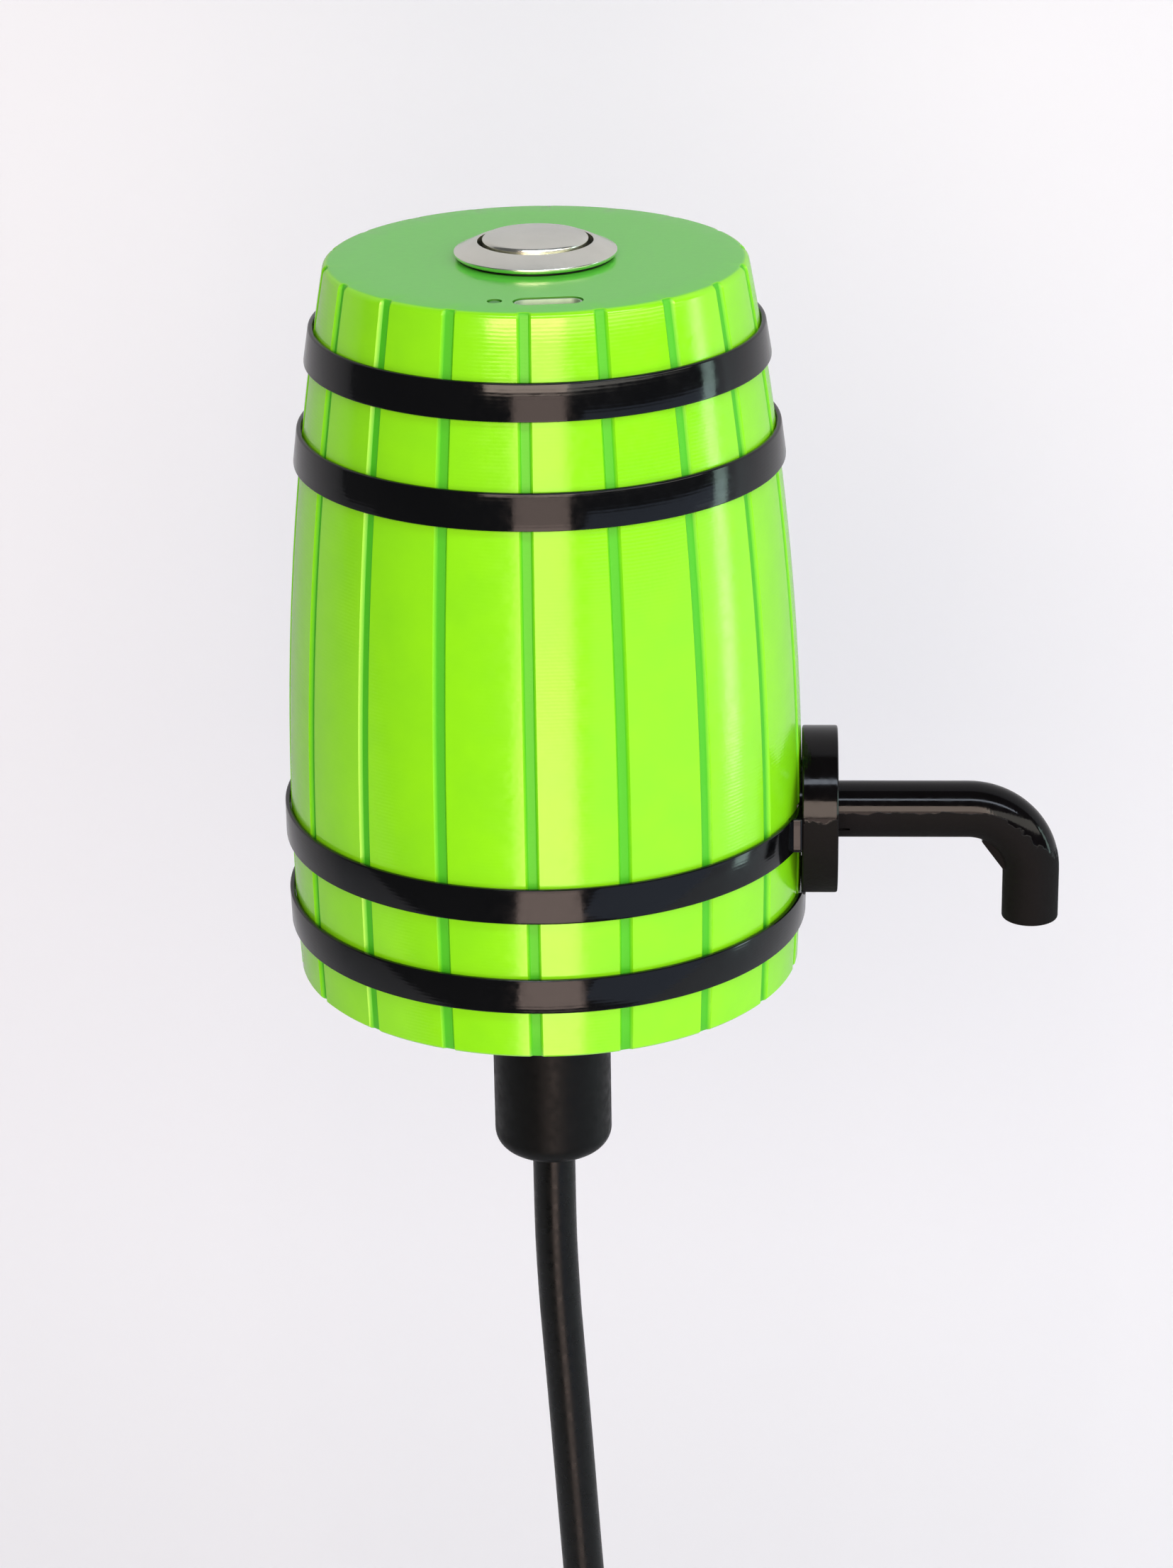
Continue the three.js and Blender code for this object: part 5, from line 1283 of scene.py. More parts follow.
@dataclass
class Spout:
    """The bent spout with its flange, printed in one. Millimetres."""

    level: float
    radius: float = 3.98
    bore: float = 2.0
    reach: float = 68.4
    bend: float = 9.0
    tip_level: float = 5.6
    tip_round: float = 0.3
    mouth_edge: float = 0.25
    tail: float = 26.0
    barb_end: float = 21.6
    barb_root: float = 1.9
    barb_crest: float = 2.25
    barbs: int = 3
    # Length of a step in the outside, and of the bore's narrowing to the flow.
    step: float = 0.01
    narrowing: float = 1.0
    flow: float = 1.3
    flange_back: float = 36.02
    flange_face: float = 41.0
    flange_radius: float = 11.8
    flange_edge: float = 0.35
    collar_radius: float = 6.0
    collar_low: float = 32.2
    collar_edge: float = 0.3
    # How deep the flange and the web reach into the tube, so that they join.
    flange_sunk: float = 0.4
    web_sunk: float = 0.8
    web_half: float = 1.5
    web_reach: float = 4.25
    web_middle_deg: float = 54.0
    web_span_deg: float = 31.0
    web_steps: int = 6
    sides: int = 64
    bend_steps: int = 24
    straight_steps: int = 12
    leg_steps: int = 4

    def outwards(self, angle: float) -> Vector:
        """Gives the way out of the bend, where the centre line has turned by an angle."""
        return Vector((math.sin(angle), 0.0, math.cos(angle)))

    def from_bend(self, angle: float, reach: float) -> Vector:
        """Gives the point at an angle and a distance from the centre of the bend."""
        return Vector((self.reach - self.bend, 0.0, self.level - self.bend)) + self.outwards(angle) * reach

    def ring(self, centre: Vector, angle: float, radius: float) -> Ring:
        """Draws one ring square to the centre line, where that has turned by an angle."""
        return round_ring(centre, self.outwards(angle), Vector((0.0, 1.0, 0.0)), radius, self.sides)

    def on_axis(self, x: float, radius: float) -> Ring:
        """Draws one ring of the straight part."""
        return self.ring(Vector((x, 0.0, self.level)), 0.0, radius)

    def on_leg(self, radius: float, level: float) -> Ring:
        """Draws one ring of the leg below the bend."""
        return self.ring(Vector((self.reach, 0.0, level)), RIGHT_ANGLE, radius)

    def on_bend(self, radius: float) -> list[Ring]:
        """Draws the rings of the bend, from the straight part to the leg."""
        angles = [i / self.bend_steps * RIGHT_ANGLE for i in range(self.bend_steps + 1)]
        return [self.ring(self.from_bend(a, self.bend), a, radius) for a in angles]

    def tube(self) -> Piece:
        """Draws the hollow tube from the barbed tail to the tip.

        Returns:
            The tube.
        """
        pitch = (self.tail - self.barb_end) / self.barbs
        outer = [self.on_axis(self.barb_end, self.barb_root)]
        for i in range(1, self.barbs):
            x = self.barb_end + i * pitch
            outer += [self.on_axis(x, self.barb_crest), self.on_axis(x + self.step, self.barb_root)]
        outer += [self.on_axis(self.tail, self.barb_root), self.on_axis(self.tail + self.step, self.radius)]
        straight = (self.reach - self.bend - self.tail) / self.straight_steps
        outer += [self.on_axis(self.tail + straight * i, self.radius) for i in range(1, self.straight_steps)]
        outer += self.on_bend(self.radius)
        leg, low = self.level - self.bend, self.tip_level + self.tip_round
        outer += [self.on_leg(self.radius, leg + (low - leg) * i / self.leg_steps)
                  for i in range(1, self.leg_steps)]
        tip = quarter(self.radius - self.tip_round, low, self.tip_round, -self.tip_round, steps=4)
        outer += [self.on_leg(radius, level) for radius, level in tip]
        inner = [
            self.on_leg(self.bore + self.mouth_edge, self.tip_level),
            self.on_leg(self.bore, self.tip_level + self.mouth_edge),
            self.on_leg(self.bore, leg - self.narrowing),
        ]
        inner += self.on_bend(self.bore)[::-1] + [
            self.on_axis(self.tail + 2 * self.narrowing, self.bore),
            self.on_axis(self.tail + self.narrowing, self.flow), self.on_axis(self.barb_end, self.flow),
        ]
        return skinned("spout_print", outer + inner, looped=True)

    def flange(self) -> Piece:
        """Draws the flange and the collar behind it.

        Returns:
            The flange, with a hole that the tube fills.
        """
        hole = self.radius - self.flange_sunk
        corner = (self.collar_radius, self.flange_back)
        collar = [(hole, self.collar_low), (self.collar_radius, self.collar_low), corner]
        plate = [corner, (self.flange_radius, self.flange_back), (self.flange_radius, self.flange_face),
                 (hole, self.flange_face)]
        outline = eased(collar, self.collar_edge, closed=False)
        outline += eased(plate, self.flange_edge, closed=False)[1:]
        return turned("flange", outline, sides=128, axis=Axis.X, centre=(0.0, 0.0, self.level))

    def web(self) -> Piece:
        """Draws the flat web that the print leaves inside the bend.

        Returns:
            The web.
        """
        middle, span = math.radians(self.web_middle_deg), math.radians(self.web_span_deg)
        foot, sunk = self.web_reach / math.cos(span), self.bend - self.radius + self.web_sunk
        corners = [self.from_bend(middle + side * span, foot) for side in (-1, 1)]
        angles = [middle + span * (1 - 2 * i / self.web_steps) for i in range(self.web_steps + 1)]
        corners += [self.from_bend(angle, sunk) for angle in angles]
        faces = [[p + Vector((0.0, y, 0.0)) for p in corners] for y in (-self.web_half, self.web_half)]
        return skinned("web", faces)

    def build(self) -> Piece:
        """Joins tube, flange and web, and dresses the spout."""
        spout = combined(self.tube(), Joining.ADD, self.flange(), self.web())
        return dressed(smoothed(spout), BLACK_PETG_SPOUT, "black_print", Body.HOUSING, "spout")


@dataclass
class PushButton:
    """The stainless push button in the top. Millimetres."""

    flange_low: float = 102.35
    flange_radius: float = 11.0
    rim: float = 0.65
    rim_undercut: float = 0.3
    lip_level: float = 104.3
    lip_radius: float = 7.8
    lip_width: float = 0.35
    body_radius: float = 9.4
    body_low: float = 84.5
    shelf_high: float = 96.05
    shelf_low: float = 93.05
    bore: float = 3.72
    block_bore: float = 8.0
    bezel_edge: float = 0.1
    cap_radius: float = 7.15
    cap_top: float = 105.25
    cap_low: float = 101.65
    cap_crown: float = 0.4
    cap_round: float = 0.5
    cap_edge: float = 0.08
    cap_steps: int = 8
    stem_radius: float = 3.6
    stem_low: float = 91.15
    clip_high: float = 93.07
    clip_low: float = 92.23
    clip_depth: float = 0.5
    gasket_low: float = 102.05
    gasket_high: float = 102.3
    gasket_radius: float = 10.5
    gasket_edge: float = 0.15
    fit: float = 0.15
    spring_radius: float = 5.2
    spring_wire: float = 0.3
    spring_turns: float = 5.0
    spring_foot: float = 96.15
    spring_top: float = 101.55
    travel: float = 1.8

    def bezel(self) -> Piece:
        """Draws the flange and the body below it.

        Returns:
            The bezel.
        """
        rim_high = self.flange_low + self.rim
        outline = [
            (self.lip_radius, self.shelf_high), (self.bore, self.shelf_high), (self.bore, self.shelf_low),
            (self.block_bore, self.shelf_low), (self.block_bore, self.body_low),
            (self.body_radius, self.body_low), (self.body_radius, self.flange_low),
            (self.flange_radius - self.rim_undercut, self.flange_low),
            (self.flange_radius, rim_high - self.rim_undercut), (self.flange_radius, rim_high),
            (self.lip_radius + self.lip_width, self.lip_level), (self.lip_radius, self.lip_level),
        ]
        return turned("button_bezel_steel", eased(outline, self.bezel_edge), sides=128)

    def cap(self) -> Piece:
        """Draws the crowned cap with its stem.

        Returns:
            The cap.
        """
        low = self.cap_top - self.cap_crown - self.cap_round
        flat = self.cap_radius - self.cap_round
        shares = [i / self.cap_steps for i in range(self.cap_steps)]
        crown = [(flat * share, self.cap_top - self.cap_crown * share ** 2) for share in shares]
        edge = quarter(flat, low, self.cap_round, self.cap_round, self.cap_steps)[::-1]
        groove = self.stem_radius - self.clip_depth
        below = [
            (self.cap_radius, self.cap_low), (self.stem_radius, self.cap_low),
            (self.stem_radius, self.clip_high), (groove, self.clip_high), (groove, self.clip_low),
            (self.stem_radius, self.clip_low), (self.stem_radius, self.stem_low), (0.0, self.stem_low),
        ]
        return turned("button_cap_steel", crown + edge + eased(below, self.cap_edge, closed=False), sides=112)

    def gasket(self) -> Piece:
        """Draws the flat ring below the flange.

        Returns:
            The gasket.
        """
        inner = self.body_radius + self.fit
        section = rectangle(inner, self.gasket_radius, self.gasket_low, self.gasket_high)
        return turned("button_gasket_ring", eased(section, self.gasket_edge), sides=112)

    def spring(self) -> Piece:
        """Winds the return spring by its rule.

        Returns:
            The spring.
        """
        blank = built("button_spring_wire", [Vector((0.0, 0.0, self.spring_foot))], [])
        height = self.spring_top - self.spring_foot - 2 * self.spring_wire
        return grown(blank, spring_tree(), {
            "Turns": self.spring_turns, "Radius": self.spring_radius * MM, "Height": height * MM,
            "Low": (self.spring_foot + self.spring_wire) * MM, "Wire Radius": self.spring_wire * MM,
            "Finish": material_of(ZINC_STEEL),
        })

    def build(self) -> None:
        """Builds the visible pieces of the button and its spring."""
        dressed(smoothed(self.bezel(), angle_deg=20.0), STAINLESS, "stainless", Body.HOUSING, "button_bezel")
        dressed(smoothed(self.cap(), angle_deg=26.0), STAINLESS, "stainless", Body.BUTTON, "button_cap")
        dressed(smoothed(self.gasket()), STOPPER_RUBBER, "black_rubber", Body.HOUSING, "button_gasket")
        spring = smoothed(self.spring(), angle_deg=60.0)
        dressed(spring, ZINC_STEEL, "steel", Body.HOUSING, "button_spring")
        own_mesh(spring)


@dataclass
class ChargePort:
    """The charging socket and the light beside it. Millimetres."""

    place: ChargePlace
    high: float = 101.85
    low: float = 94.2
    wall: float = 0.3
    back: float = 1.2
    foot_edge: float = 0.05
    # How far in and how far down each line of the rolled mouth lies.
    mouth: Lines = ((0.0, 0.12), (0.04, 0.03), (0.13, 0.0), (0.2, 0.0), (0.28, 0.04))
    mouth_depth: float = 0.14
    tongue_width: float = 6.7
    tongue_depth: float = 0.7
    tongue_high: float = 100.9
    tongue_gap: float = 0.1
    tongue_corner: float = 0.12
    # A corner takes at most this share of half the tongue's depth.
    corner_share: float = 0.6
    # How far in and how far down each line of the tongue's thinner end lies.
    tongue_end: Lines = ((0.0, 0.35), (0.1, 0.1), (0.2, 0.0))
    light_high: float = 101.9
    light_low: float = 96.7
    dome: float = 0.3
    base_half: float = 0.8
    base_reach: float = 1.2
    base_edge: float = 0.1

    def shell(self) -> Piece:
        """Draws the drawn shell with its rolled mouth.

        Returns:
            The shell, closed at its back.
        """
        rings = [(self.foot_edge, self.low), (0.0, self.low + self.foot_edge)]
        rings += [(inset, self.high - down) for inset, down in self.mouth]
        rings += [(self.wall, self.high - self.mouth_depth), (self.wall, self.low + self.back)]
        return skinned("usb_c_socket_shell", [self.place.ring(-2 * inset, level) for inset, level in rings])

    def tongue(self) -> Piece:
        """Draws the tongue with its thinner leading edge.

        Returns:
            The tongue.
        """
        lines = [(0.0, self.low + self.back + self.tongue_gap)]
        lines += [(inset, self.tongue_high - down) for inset, down in self.tongue_end]
        rings = []
        turn, radius = spin(self.place.turn_deg), self.place.radius
        for inset, level in lines:
            half, deep = self.tongue_width / 2 - inset, self.tongue_depth / 2 - inset
            corner = min(self.tongue_corner, deep * self.corner_share)
            outline = eased(rectangle(-half, half, -deep, deep), corner)
            rings.append([turn @ Vector((x, y - radius, level)) for x, y in outline])
        return skinned("usb_c_tongue_blade", rings)

    def light(self) -> Piece:
        """Draws the light guide, domed at its end and square at its foot.

        Returns:
            The guide.
        """
        centre, radius, low = self.place.light_centre(), self.place.light_radius, self.light_low
        dome = quarter(radius - self.dome, self.light_high - self.dome, self.dome, self.dome, steps=5)
        outline = [(0.0, low), (radius, low)] + dome + [(0.0, self.light_high)]
        guide = turned("status_light_guide", outline, sides=40, centre=tuple(centre))
        half, reach = self.base_half, self.base_reach
        foot = block("foot", (-half, -half, low - reach), (half, half, low + reach))
        grow(foot, "BEVEL", width=self.base_edge * MM, segments=2)
        foot.data.transform(Matrix.Translation(centre * MM) @ spin(self.place.turn_deg, 4))
        return combined(guide, Joining.ADD, foot)

    def build(self) -> None:
        """Builds the socket, its tongue and the light."""
        dressed(smoothed(self.shell()), PLATED_SHELL, "stainless", Body.HOUSING, "usb_c_socket")
        dressed(smoothed(self.tongue()), TONGUE, "black_plastic", Body.HOUSING, "usb_c_tongue")
        dressed(smoothed(self.light()), ACRYLIC, "light_guide", Body.HOUSING, "status_light")


@dataclass
class BaseAndStopper:
    """The base plate with its spigot, its screws, and the stopper pushed on below. Millimetres."""

    form: BarrelForm
    plate_radius: float = 32.89
    plate_thickness: float = 3.0
    edge: float = 0.4
    spigot_radius: float = 5.5
    spigot_length: float = 24.0
    barb_foot: float = 2.2
    barb_tip: float = 1.9
    barb_height: float = 4.4
    tube_hole: float = 3.25
    tube_seat: float = 12.0
    flow: float = 1.3
    vent_radius: float = 0.7
    vent_offset: float = 4.4
    base_hole: float = 1.15
    pump_hole: float = 1.25
    # How far cutters reach past a face, and how deep blanks reach into the piece that they join.
    past: float = 1.0
    sunk: float = 0.5
    fit: float = 0.15
    gap: float = 0.1
    head_radius: float = 2.1
    head_height: float = 1.3
    head_sunk: float = 0.3
    # How far in and how far down each line of a screw's rounded head lies.
    head_shape: Lines = ((0.7, 0.02), (0.25, 0.2), (0.04, 0.5), (0.0, 0.8))
    # Half the length, half the width and the depth of each arm of the cross recess.
    recess: Point = (1.15, 0.22, 0.75)
    counterbore: float = 1.7
    thread_pitch: float = 0.8
    thread_start: float = 0.3
    root_share: float = 0.82
    thread_foot: float = 0.15
    tip_share: float = 0.8
    # Turn from one screw to the next, in radians.
    screw_turn: float = 0.7
    pump_x: float = 4.5
    pump_screw_x: float = 8.9
    pump_screw_y: float = 11.9
    post_radius: float = 3.0
    post_high: float = 16.18
    cell_x: float = -20.5
    cup_inner: float = 9.35
    cup_outer: float = 10.65
    cup_high: float = 38.0
    cup_floor: float = 1.0
    # Where the cup's opening starts and ends, from the middle of the cell.
    mouth_reach: tuple[float, float] = (0.5, 14.0)
    mouth_half: float = 7.0
    stopper_radius: float = 8.5
    stopper_length: float = 31.0
    stopper_edge: float = 0.3
    stopper_corner: float = 3.0
    stopper_lip: float = 0.4

    def pump_places(self) -> Outline:
        """Gives the centres of the pump's four screws."""
        return [(self.pump_x + x * self.pump_screw_x, y * self.pump_screw_y)
                for x in (-1, 1) for y in (-1, 1)]

    def base_places(self) -> Outline:
        """Gives the centres of the base plate's four screws."""
        return [self.form.boss_centre(turn)[:2] for turn in self.form.boss_turns]

    def cup(self) -> Piece:
        """Draws the cup that holds the cell, open at one side.

        Returns:
            The cup.
        """
        low, floor = self.plate_thickness - self.sunk, self.plate_thickness + self.cup_floor
        cup = turned("cup", [
            (0.0, low), (self.cup_outer, low), (self.cup_outer, self.cup_high),
            (self.cup_inner, self.cup_high), (self.cup_inner, floor), (0.0, floor),
        ], sides=64, centre=(self.cell_x, 0.0, 0.0))
        half, over = self.mouth_half, self.cup_high + self.past
        near, far = (self.cell_x + reach for reach in self.mouth_reach)
        return combined(cup, Joining.CUT, block("mouth", (near, -half, floor), (far, half, over)))

    def screw_hole(self, place: tuple[float, float], radius: float, high: float) -> list[Piece]:
        """Draws the cutters of one screw's hole and of its counterbore.

        Args:
            place: The screw's x and y.
            radius: Radius of the hole.
            high: Level up to which the hole goes.

        Returns:
            The two cutters.
        """
        centre = (*place, 0.0)
        return [rod(radius, -self.past, high + self.past, sides=24, centre=centre),
                rod(self.head_radius + self.fit, -self.past, self.counterbore, centre=centre)]

    def vent(self, low: float, high: float) -> Piece:
        """Draws the cutter of the hole that lets air in, past both levels."""
        centre = (0.0, self.vent_offset, 0.0)
        return rod(self.vent_radius, low - self.past, high + self.past, sides=24, centre=centre)

    def plate(self) -> Piece:
        """Draws the plate with its spigot, pump posts and the cell's cup.

        Returns:
            The plate.
        """
        high, spigot = self.plate_thickness, -self.spigot_length
        barb = high + self.barb_height
        plate = turned("base_plate_moulding", eased([
            (0.0, spigot), (self.spigot_radius, spigot), (self.spigot_radius, 0.0), (self.plate_radius, 0.0),
            (self.plate_radius, high), (self.barb_foot, high), (self.barb_tip, barb), (0.0, barb),
        ], self.edge, closed=False), sides=128)
        posts = [rod(self.post_radius, high - self.sunk, self.post_high, centre=(*place, 0.0))
                 for place in self.pump_places()]
        combined(plate, Joining.ADD, self.cup(), *posts)
        for place in self.pump_places():
            combined(plate, Joining.CUT, *self.screw_hole(place, self.pump_hole, self.post_high))
        for place in self.base_places():
            combined(plate, Joining.CUT, *self.screw_hole(place, self.base_hole, high))
        return combined(
            plate, Joining.CUT, rod(self.flow, spigot - self.past, barb + self.past),
            rod(self.tube_hole, spigot - self.past, spigot + self.tube_seat), self.vent(spigot, high),
        )

    def screw(self, shank: float, length: float) -> Piece:
        """Draws one pan-head screw with a cross recess, its head's face on zero.

        Args:
            shank: Radius of the shank.
            length: Length under the head.

        Returns:
            The screw, as a pattern for the others.
        """
        head, high, pitch, foot = self.head_radius, self.head_height, self.thread_pitch, self.thread_foot
        end = high + length - shank
        outline = [(0.0, 0.0)] + [(head - inset, down) for inset, down in self.head_shape]
        outline += [(head, high), (shank, high)]
        for i in range(int(length / pitch)):
            z = high + self.thread_start + i * pitch
            if z + pitch < end:
                root = shank * self.root_share
                outline += [(root, z + foot), (shank, z + pitch / 2), (root, z + pitch - foot)]
        screw = turned("screw", outline + [(shank * self.tip_share, end), (0.0, high + length)], sides=24)
        long, half, deep = self.recess
        for turn in (0, 90):
            arm = block("arm", (-long, -half, -self.sunk), (long, half, deep))
            arm.data.transform(spin(turn, 4))
            combined(screw, Joining.CUT, arm)
        return screw

    def screws(self, name: str, places: Outline, shank: float, length: float) -> None:
        """Sets a screw in each hole by its rule.

        Args:
            name: Name of one screw. The solids that they stand for have a number after it.
            places: Centres of the holes.
            shank: Radius of the shank.
            length: Length under the head.
        """
        pattern = smoothed(self.screw(shank, length))
        holes = built(name + "_set", [Vector((x, y, self.head_sunk)) for x, y in places], [])
        grown(holes, screws_tree(), {
            "Screw": pattern, "Spin": self.screw_turn, "Finish": material_of(ZINC_STEEL),
        })
        bpy.data.objects.remove(pattern)
        nodes = [f"{name}_{i}" for i in range(1, len(places) + 1)]
        dressed(smoothed(holes), ZINC_STEEL, "steel", Body.HOUSING, *nodes)

    def stopper(self) -> Piece:
        """Draws the rubber stopper.

        Returns:
            The stopper.
        """
        low, high, floor = -self.stopper_length, -self.gap, -self.spigot_length - self.gap
        radius, corner, hole, lip = self.stopper_radius, self.stopper_corner, self.tube_hole, self.stopper_lip
        bore = self.spigot_radius + self.fit
        outline = [(bore, high), (radius - self.stopper_edge, high), (radius, high - self.stopper_edge)]
        outline += quarter(radius - corner, low + corner, corner, -corner, steps=12)
        outline += [(hole + lip, low), (hole, low + lip), (hole, floor), (bore, floor)]
        return combined(turned("neck_stopper_rubber", outline), Joining.CUT, self.vent(low, floor))

    def build(self) -> None:
        """Builds the plate, the stopper and both sets of screws."""
        dressed(smoothed(self.plate()), BLACK_ABS, "black_plastic", Body.HOUSING, "base_plate")
        dressed(smoothed(self.stopper()), STOPPER_RUBBER, "black_rubber", Body.HOUSING, "neck_stopper")
        self.screws("base_screw", self.base_places(), shank=1.0, length=8.0)
        self.screws("pump_screw", self.pump_places(), shank=1.1, length=20.0)


@dataclass
class DipTube:
    """The hollow dip tube, which hangs from the stopper. Millimetres."""

    radius: float = 3.1
    bore: float = 2.1
    sides: int = 28
    steps: int = 5
    exit_level: float = -31.0
    route: list[Point] = field(default_factory=lambda: [
        (0, 0, -12.4), (0, 0, -31), (0, 0, -40), (0.1, 0, -48), (0.5, 0, -58), (1.1, 0.1, -68),
        (2.1, 0.1, -85), (3.2, 0.2, -104), (4.6, 0.3, -125), (6.2, 0.4, -148), (8, 0.5, -172),
        (10, 0.6, -196), (12.3, 0.7, -220), (14.9, 0.9, -244), (17.79, 1, -267.95),
    ])

    def line(self) -> list[Vector]:
        """Draws the smooth centre line through the route's points.

        Returns:
            The points of the line.
        """
        points = [Vector(p) for p in self.route]
        points = [points[0] * 2 - points[1]] + points + [points[-1] * 2 - points[-2]]
        line = []
        for i in range(1, len(points) - 2):
            p, q, r, s = points[i - 1:i + 3]
            for t in (k / self.steps for k in range(self.steps)):
                line.append(0.5 * (q * 2 + (r - p) * t + (p * 2 - q * 5 + r * 4 - s) * t ** 2
                                   + (q * 3 - p - r * 3 + s) * t ** 3))
        return line + [points[-2]]

    def rings(self, line: list[Vector], radius: float) -> list[Ring]:
        """Draws rings square to a line.

        Args:
            line: Centres of the rings.
            radius: Their radius.

        Returns:
            The rings.
        """
        result = []
        for i, point in enumerate(line):
            ahead = (line[min(i + 1, len(line) - 1)] - line[max(i - 1, 0)]).normalized()
            across = Vector((0.0, 1.0, 0.0)).cross(ahead).normalized()
            result.append(round_ring(point, across, ahead.cross(across), radius, self.sides))
        return result

    def build(self) -> Piece:
        """Returns:
            The dressed tube.
        """
        line = self.line()
        outer, inner = self.rings(line, self.radius), self.rings(line, self.bore)
        tube = skinned("dip_tube_hose", outer + inner[::-1], looped=True)
        dressed(smoothed(tube), TUBE_POLYURETHANE, "tube_plastic", Body.HOUSING, "dip_tube")
        return tube


@dataclass
class Inside:
    """The pieces inside the barrel, which keep their solids and get their finishes."""

    finishes: dict[str, Finish] = field(default_factory=lambda: {
        "lime_print": LIME_PLA, "black_print": BLACK_PETG_HOOP, "black_plastic": BLACK_ABS,
        "black_rubber": STOPPER_RUBBER, "tube_plastic": TUBE_POLYURETHANE, "stainless": STAINLESS,
        "steel": ZINC_STEEL, "brass": BRASS, "clear_hose": SILICONE, "pump_plastic": ACETAL,
        "gear_nylon": NYLON, "circuit_board": BOARD, "cell_wrap": SHRINK_SLEEVE, "motor_metal": MOTOR_CAN,
        "light_guide": ACRYLIC, "red_wire": RED_SLEEVE, "black_wire": BLACK_SLEEVE,
    })

    def build(self) -> None:
        """Dresses every solid that still shows."""
        slots = {row["node"]: row["material_slot"] for row in frame["record"]["subparts"]}
        for name, node in frame["nodes"].items():
            if node.hide_render:
                continue
            material = material_of(self.finishes[slots[name]])
            if not node.material_slots:
                node.data.materials.append(material)
            for row in node.material_slots:
                row.material = material
            LOG.info("%s keeps its solid: %s", name, material.name)


@dataclass(frozen=True)
class SoftBox:
    """A lamp with a wide even face that looks at the object. Metres, and degrees for angles."""

    name: str
    # Turn from the front towards the spout, and height above level.
    azimuth: float
    elevation: float
    size: tuple[float, float]
    # How bright its face looks, where 1 is white.
    radiance: float
    colour: str
    distance: float = 1.4
    target: Point = (0.0, 0.0, 0.05)

    def hang(self) -> None:
        """Hangs the lamp at its distance from its target."""
        light = bpy.data.lights.new(self.name, "AREA")
        light.shape, light.size, light.size_y = "RECTANGLE", *self.size
        light.energy = self.radiance * math.pi * self.size[0] * self.size[1]
        light.color = linear(self.colour)[:3]
        a, e = math.radians(self.azimuth), math.radians(self.elevation)
        away = Vector((math.sin(a) * math.cos(e), -math.cos(a) * math.cos(e), math.sin(e)))
        turn = away.to_track_quat("Z", "Y").to_matrix().to_4x4()
        lamp = bpy.data.objects.new(self.name, light)
        lamp.matrix_world = Matrix.Translation(Vector(self.target) + away * self.distance) @ turn
        lamp.visible_camera = False
        bpy.context.scene.collection.objects.link(lamp)


# The window in front, in three parts and a side, and the lamps above and beside the object.
LAMPS = (
    SoftBox("window_upper", -2.5, 20.0, (1.0, 0.54), 6.6, "#ffe8d8"),
    SoftBox("window_middle", 3.6, -3.0, (0.62, 0.52), 2.7, "#ffe2d6"),
    SoftBox("window_lower", 3.6, -25.5, (0.62, 0.62), 3.6, "#ffe2d6"),
    SoftBox("window_side", 50.0, 19.0, (1.8, 0.4), 2.6, "#f4f0e6"),
    SoftBox("ceiling_strip", 0.0, 58.5, (2.0, 0.17), 8.0, "#e6f0ff", target=(0.55, 0.0, 0.05)),
    SoftBox("side_right", 60.0, -22.0, (1.9, 0.8), 0.6, "#cfe0ff", distance=1.3),
    SoftBox("strip_right", 93.0, -10.0, (0.14, 0.9), 3.8, "#dcfff4", distance=1.0),
)


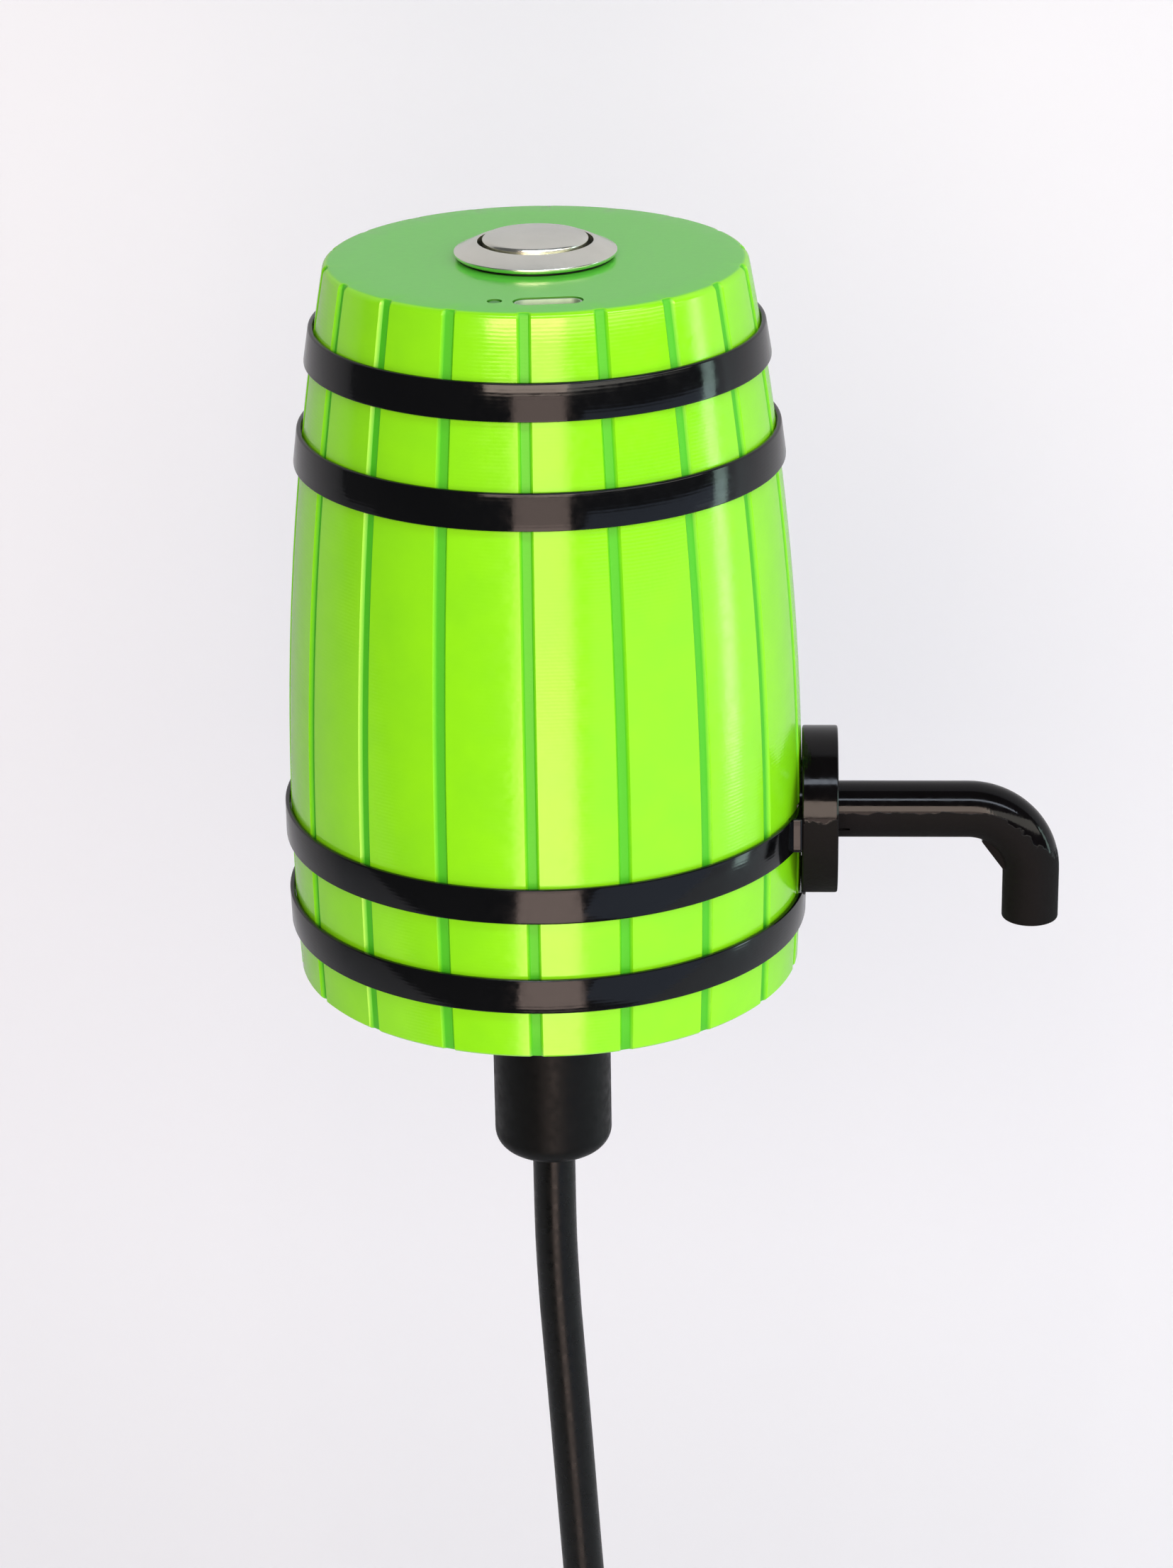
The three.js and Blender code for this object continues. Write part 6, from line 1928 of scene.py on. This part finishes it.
@dataclass
class Studio:
    """The camera, the lamps, the pale floor and the backdrop. Metres."""

    eye: Point = (0.031751, -0.534429, 0.242226)
    right: Point = (0.998976, 0.042511, -0.015505)
    up: Point = (-0.001594, 0.375494, 0.926823)
    focal_length_mm: float = 93.95
    sensor_mm: float = 36.0
    clip: tuple[float, float] = (0.01, 50.0)
    floor_level: float = -0.30
    floor_front: float = -0.3
    backdrop_place: float = 0.24
    backdrop_height: float = 1.8
    half_width: float = 1.6
    cove: float = 0.16
    cove_steps: int = 16
    world_light: float = 0.1
    room_light: float = 0.9
    room_colour: str = "#f3f5fa"
    paper_glow: float = 0.13
    mirrored_share: float = 0.56
    paper_colour: str = "#e2e7ee"

    def camera(self) -> None:
        """Sets the camera at the photograph's place."""
        right, up = Vector(self.right).normalized(), Vector(self.up)
        back = right.cross(up).normalized()
        lens = bpy.data.cameras.new("camera")
        lens.lens, lens.sensor_width, lens.sensor_fit = self.focal_length_mm, self.sensor_mm, "AUTO"
        lens.clip_start, lens.clip_end = self.clip
        camera = bpy.data.objects.new("camera", lens)
        turn = Matrix((right, back.cross(right), back)).transposed().to_4x4()
        camera.matrix_world = Matrix.Translation(Vector(self.eye)) @ turn
        bpy.context.scene.collection.objects.link(camera)
        bpy.context.scene.camera = camera

    def on_rays(self, tree: Tree, *kinds: str) -> Any:
        """Tells the named kinds of ray from all others.

        Args:
            tree: Tree of a material or of the world.
            *kinds: Camera, Glossy or Transmission.

        Returns:
            What gives 1 on these rays and 0 on others: a socket for one kind, a node for more.
        """
        path = add_node(tree, "ShaderNodeLightPath").outputs
        seen = path[f"Is {kinds[0]} Ray"]
        for kind in kinds[1:]:
            seen = add_node(tree, "ShaderNodeMath", {0: seen, 1: path[f"Is {kind} Ray"]}, operation="MAXIMUM")
        return seen

    def paper(self) -> Material:
        """Builds the pale paper of floor and backdrop. It can't be seen from behind or below.

        Returns:
            The material.
        """
        material = bpy.data.materials.new("white paper roll")
        tree, colour = emptied(material), linear(self.paper_colour)
        glow = add_node(tree, "ShaderNodeMath", {
            0: self.on_rays(tree, "Camera", "Transmission", "Glossy"), 1: self.paper_glow,
        }, operation="MULTIPLY")
        mirrored = tuple(c * self.mirrored_share for c in colour[:3]) + (1.0,)
        seen = add_node(tree, "ShaderNodeMix", {
            0: self.on_rays(tree, "Glossy"), 6: colour, 7: mirrored,
        }, data_type="RGBA").outputs[2]
        front = add_node(tree, "ShaderNodeBsdfPrincipled", {
            "Base Color": seen, "Roughness": 0.9, "Specular IOR Level": 0.0, "Emission Color": colour,
            "Emission Strength": glow,
        })
        side = add_node(tree, "ShaderNodeMixShader", {
            0: add_node(tree, "ShaderNodeNewGeometry").outputs["Backfacing"], 1: front,
            2: add_node(tree, "ShaderNodeBsdfTransparent"),
        })
        add_node(tree, "ShaderNodeOutputMaterial", {"Surface": side})
        return material

    def stage(self) -> None:
        """Lays the floor and raises the backdrop behind it in one sweep."""
        low, cove = self.floor_level, self.cove
        profile = [(self.floor_front, low)]
        profile += quarter(self.backdrop_place - cove, low + cove, cove, -cove, self.cove_steps)[::-1]
        profile.append((self.backdrop_place, self.backdrop_height))
        points = [Vector((x, y, z)) / MM for x in (-self.half_width, self.half_width) for y, z in profile]
        count = len(profile)
        roll = built("paper_roll", points, [[i, count + i, count + i + 1, i + 1] for i in range(count - 1)])
        if roll.data.polygons[0].normal.z < 0:
            roll.data.flip_normals()
        roll.data.materials.append(self.paper())
        roll.data.shade_smooth()

    def world(self) -> None:
        """Lights everything faintly from all sides, and looks pale where nothing stands."""
        world = bpy.data.worlds.new("soft room")
        tree = emptied(world)
        strength = add_node(tree, "ShaderNodeMapRange", {
            "Value": self.on_rays(tree, "Camera", "Transmission"), "To Min": self.world_light,
            "To Max": self.room_light,
        })
        light = add_node(tree, "ShaderNodeBackground", {
            "Color": linear(self.room_colour), "Strength": strength,
        })
        add_node(tree, "ShaderNodeOutputWorld", {"Surface": light})
        bpy.context.scene.world = world

    def build(self) -> None:
        """Builds the whole studio."""
        bpy.context.scene.view_settings.view_transform = "Standard"
        self.camera()
        self.world()
        self.stage()
        for lamp in LAMPS:
            lamp.hang()


def main() -> None:
    """Builds the classes in order and reports each piece."""
    logging.basicConfig(level=logging.INFO, format="%(name)s: %(message)s")
    form, charge = BarrelForm(), ChargePlace()
    Studio().build()
    DipTube().build()
    Barrel(form, charge).build()
    Hoops(form).build()
    Spout(form.spout_level).build()
    PushButton().build()
    ChargePort(charge).build()
    BaseAndStopper(form).build()
    Inside().build()


if __name__ == "__main__":
    main()
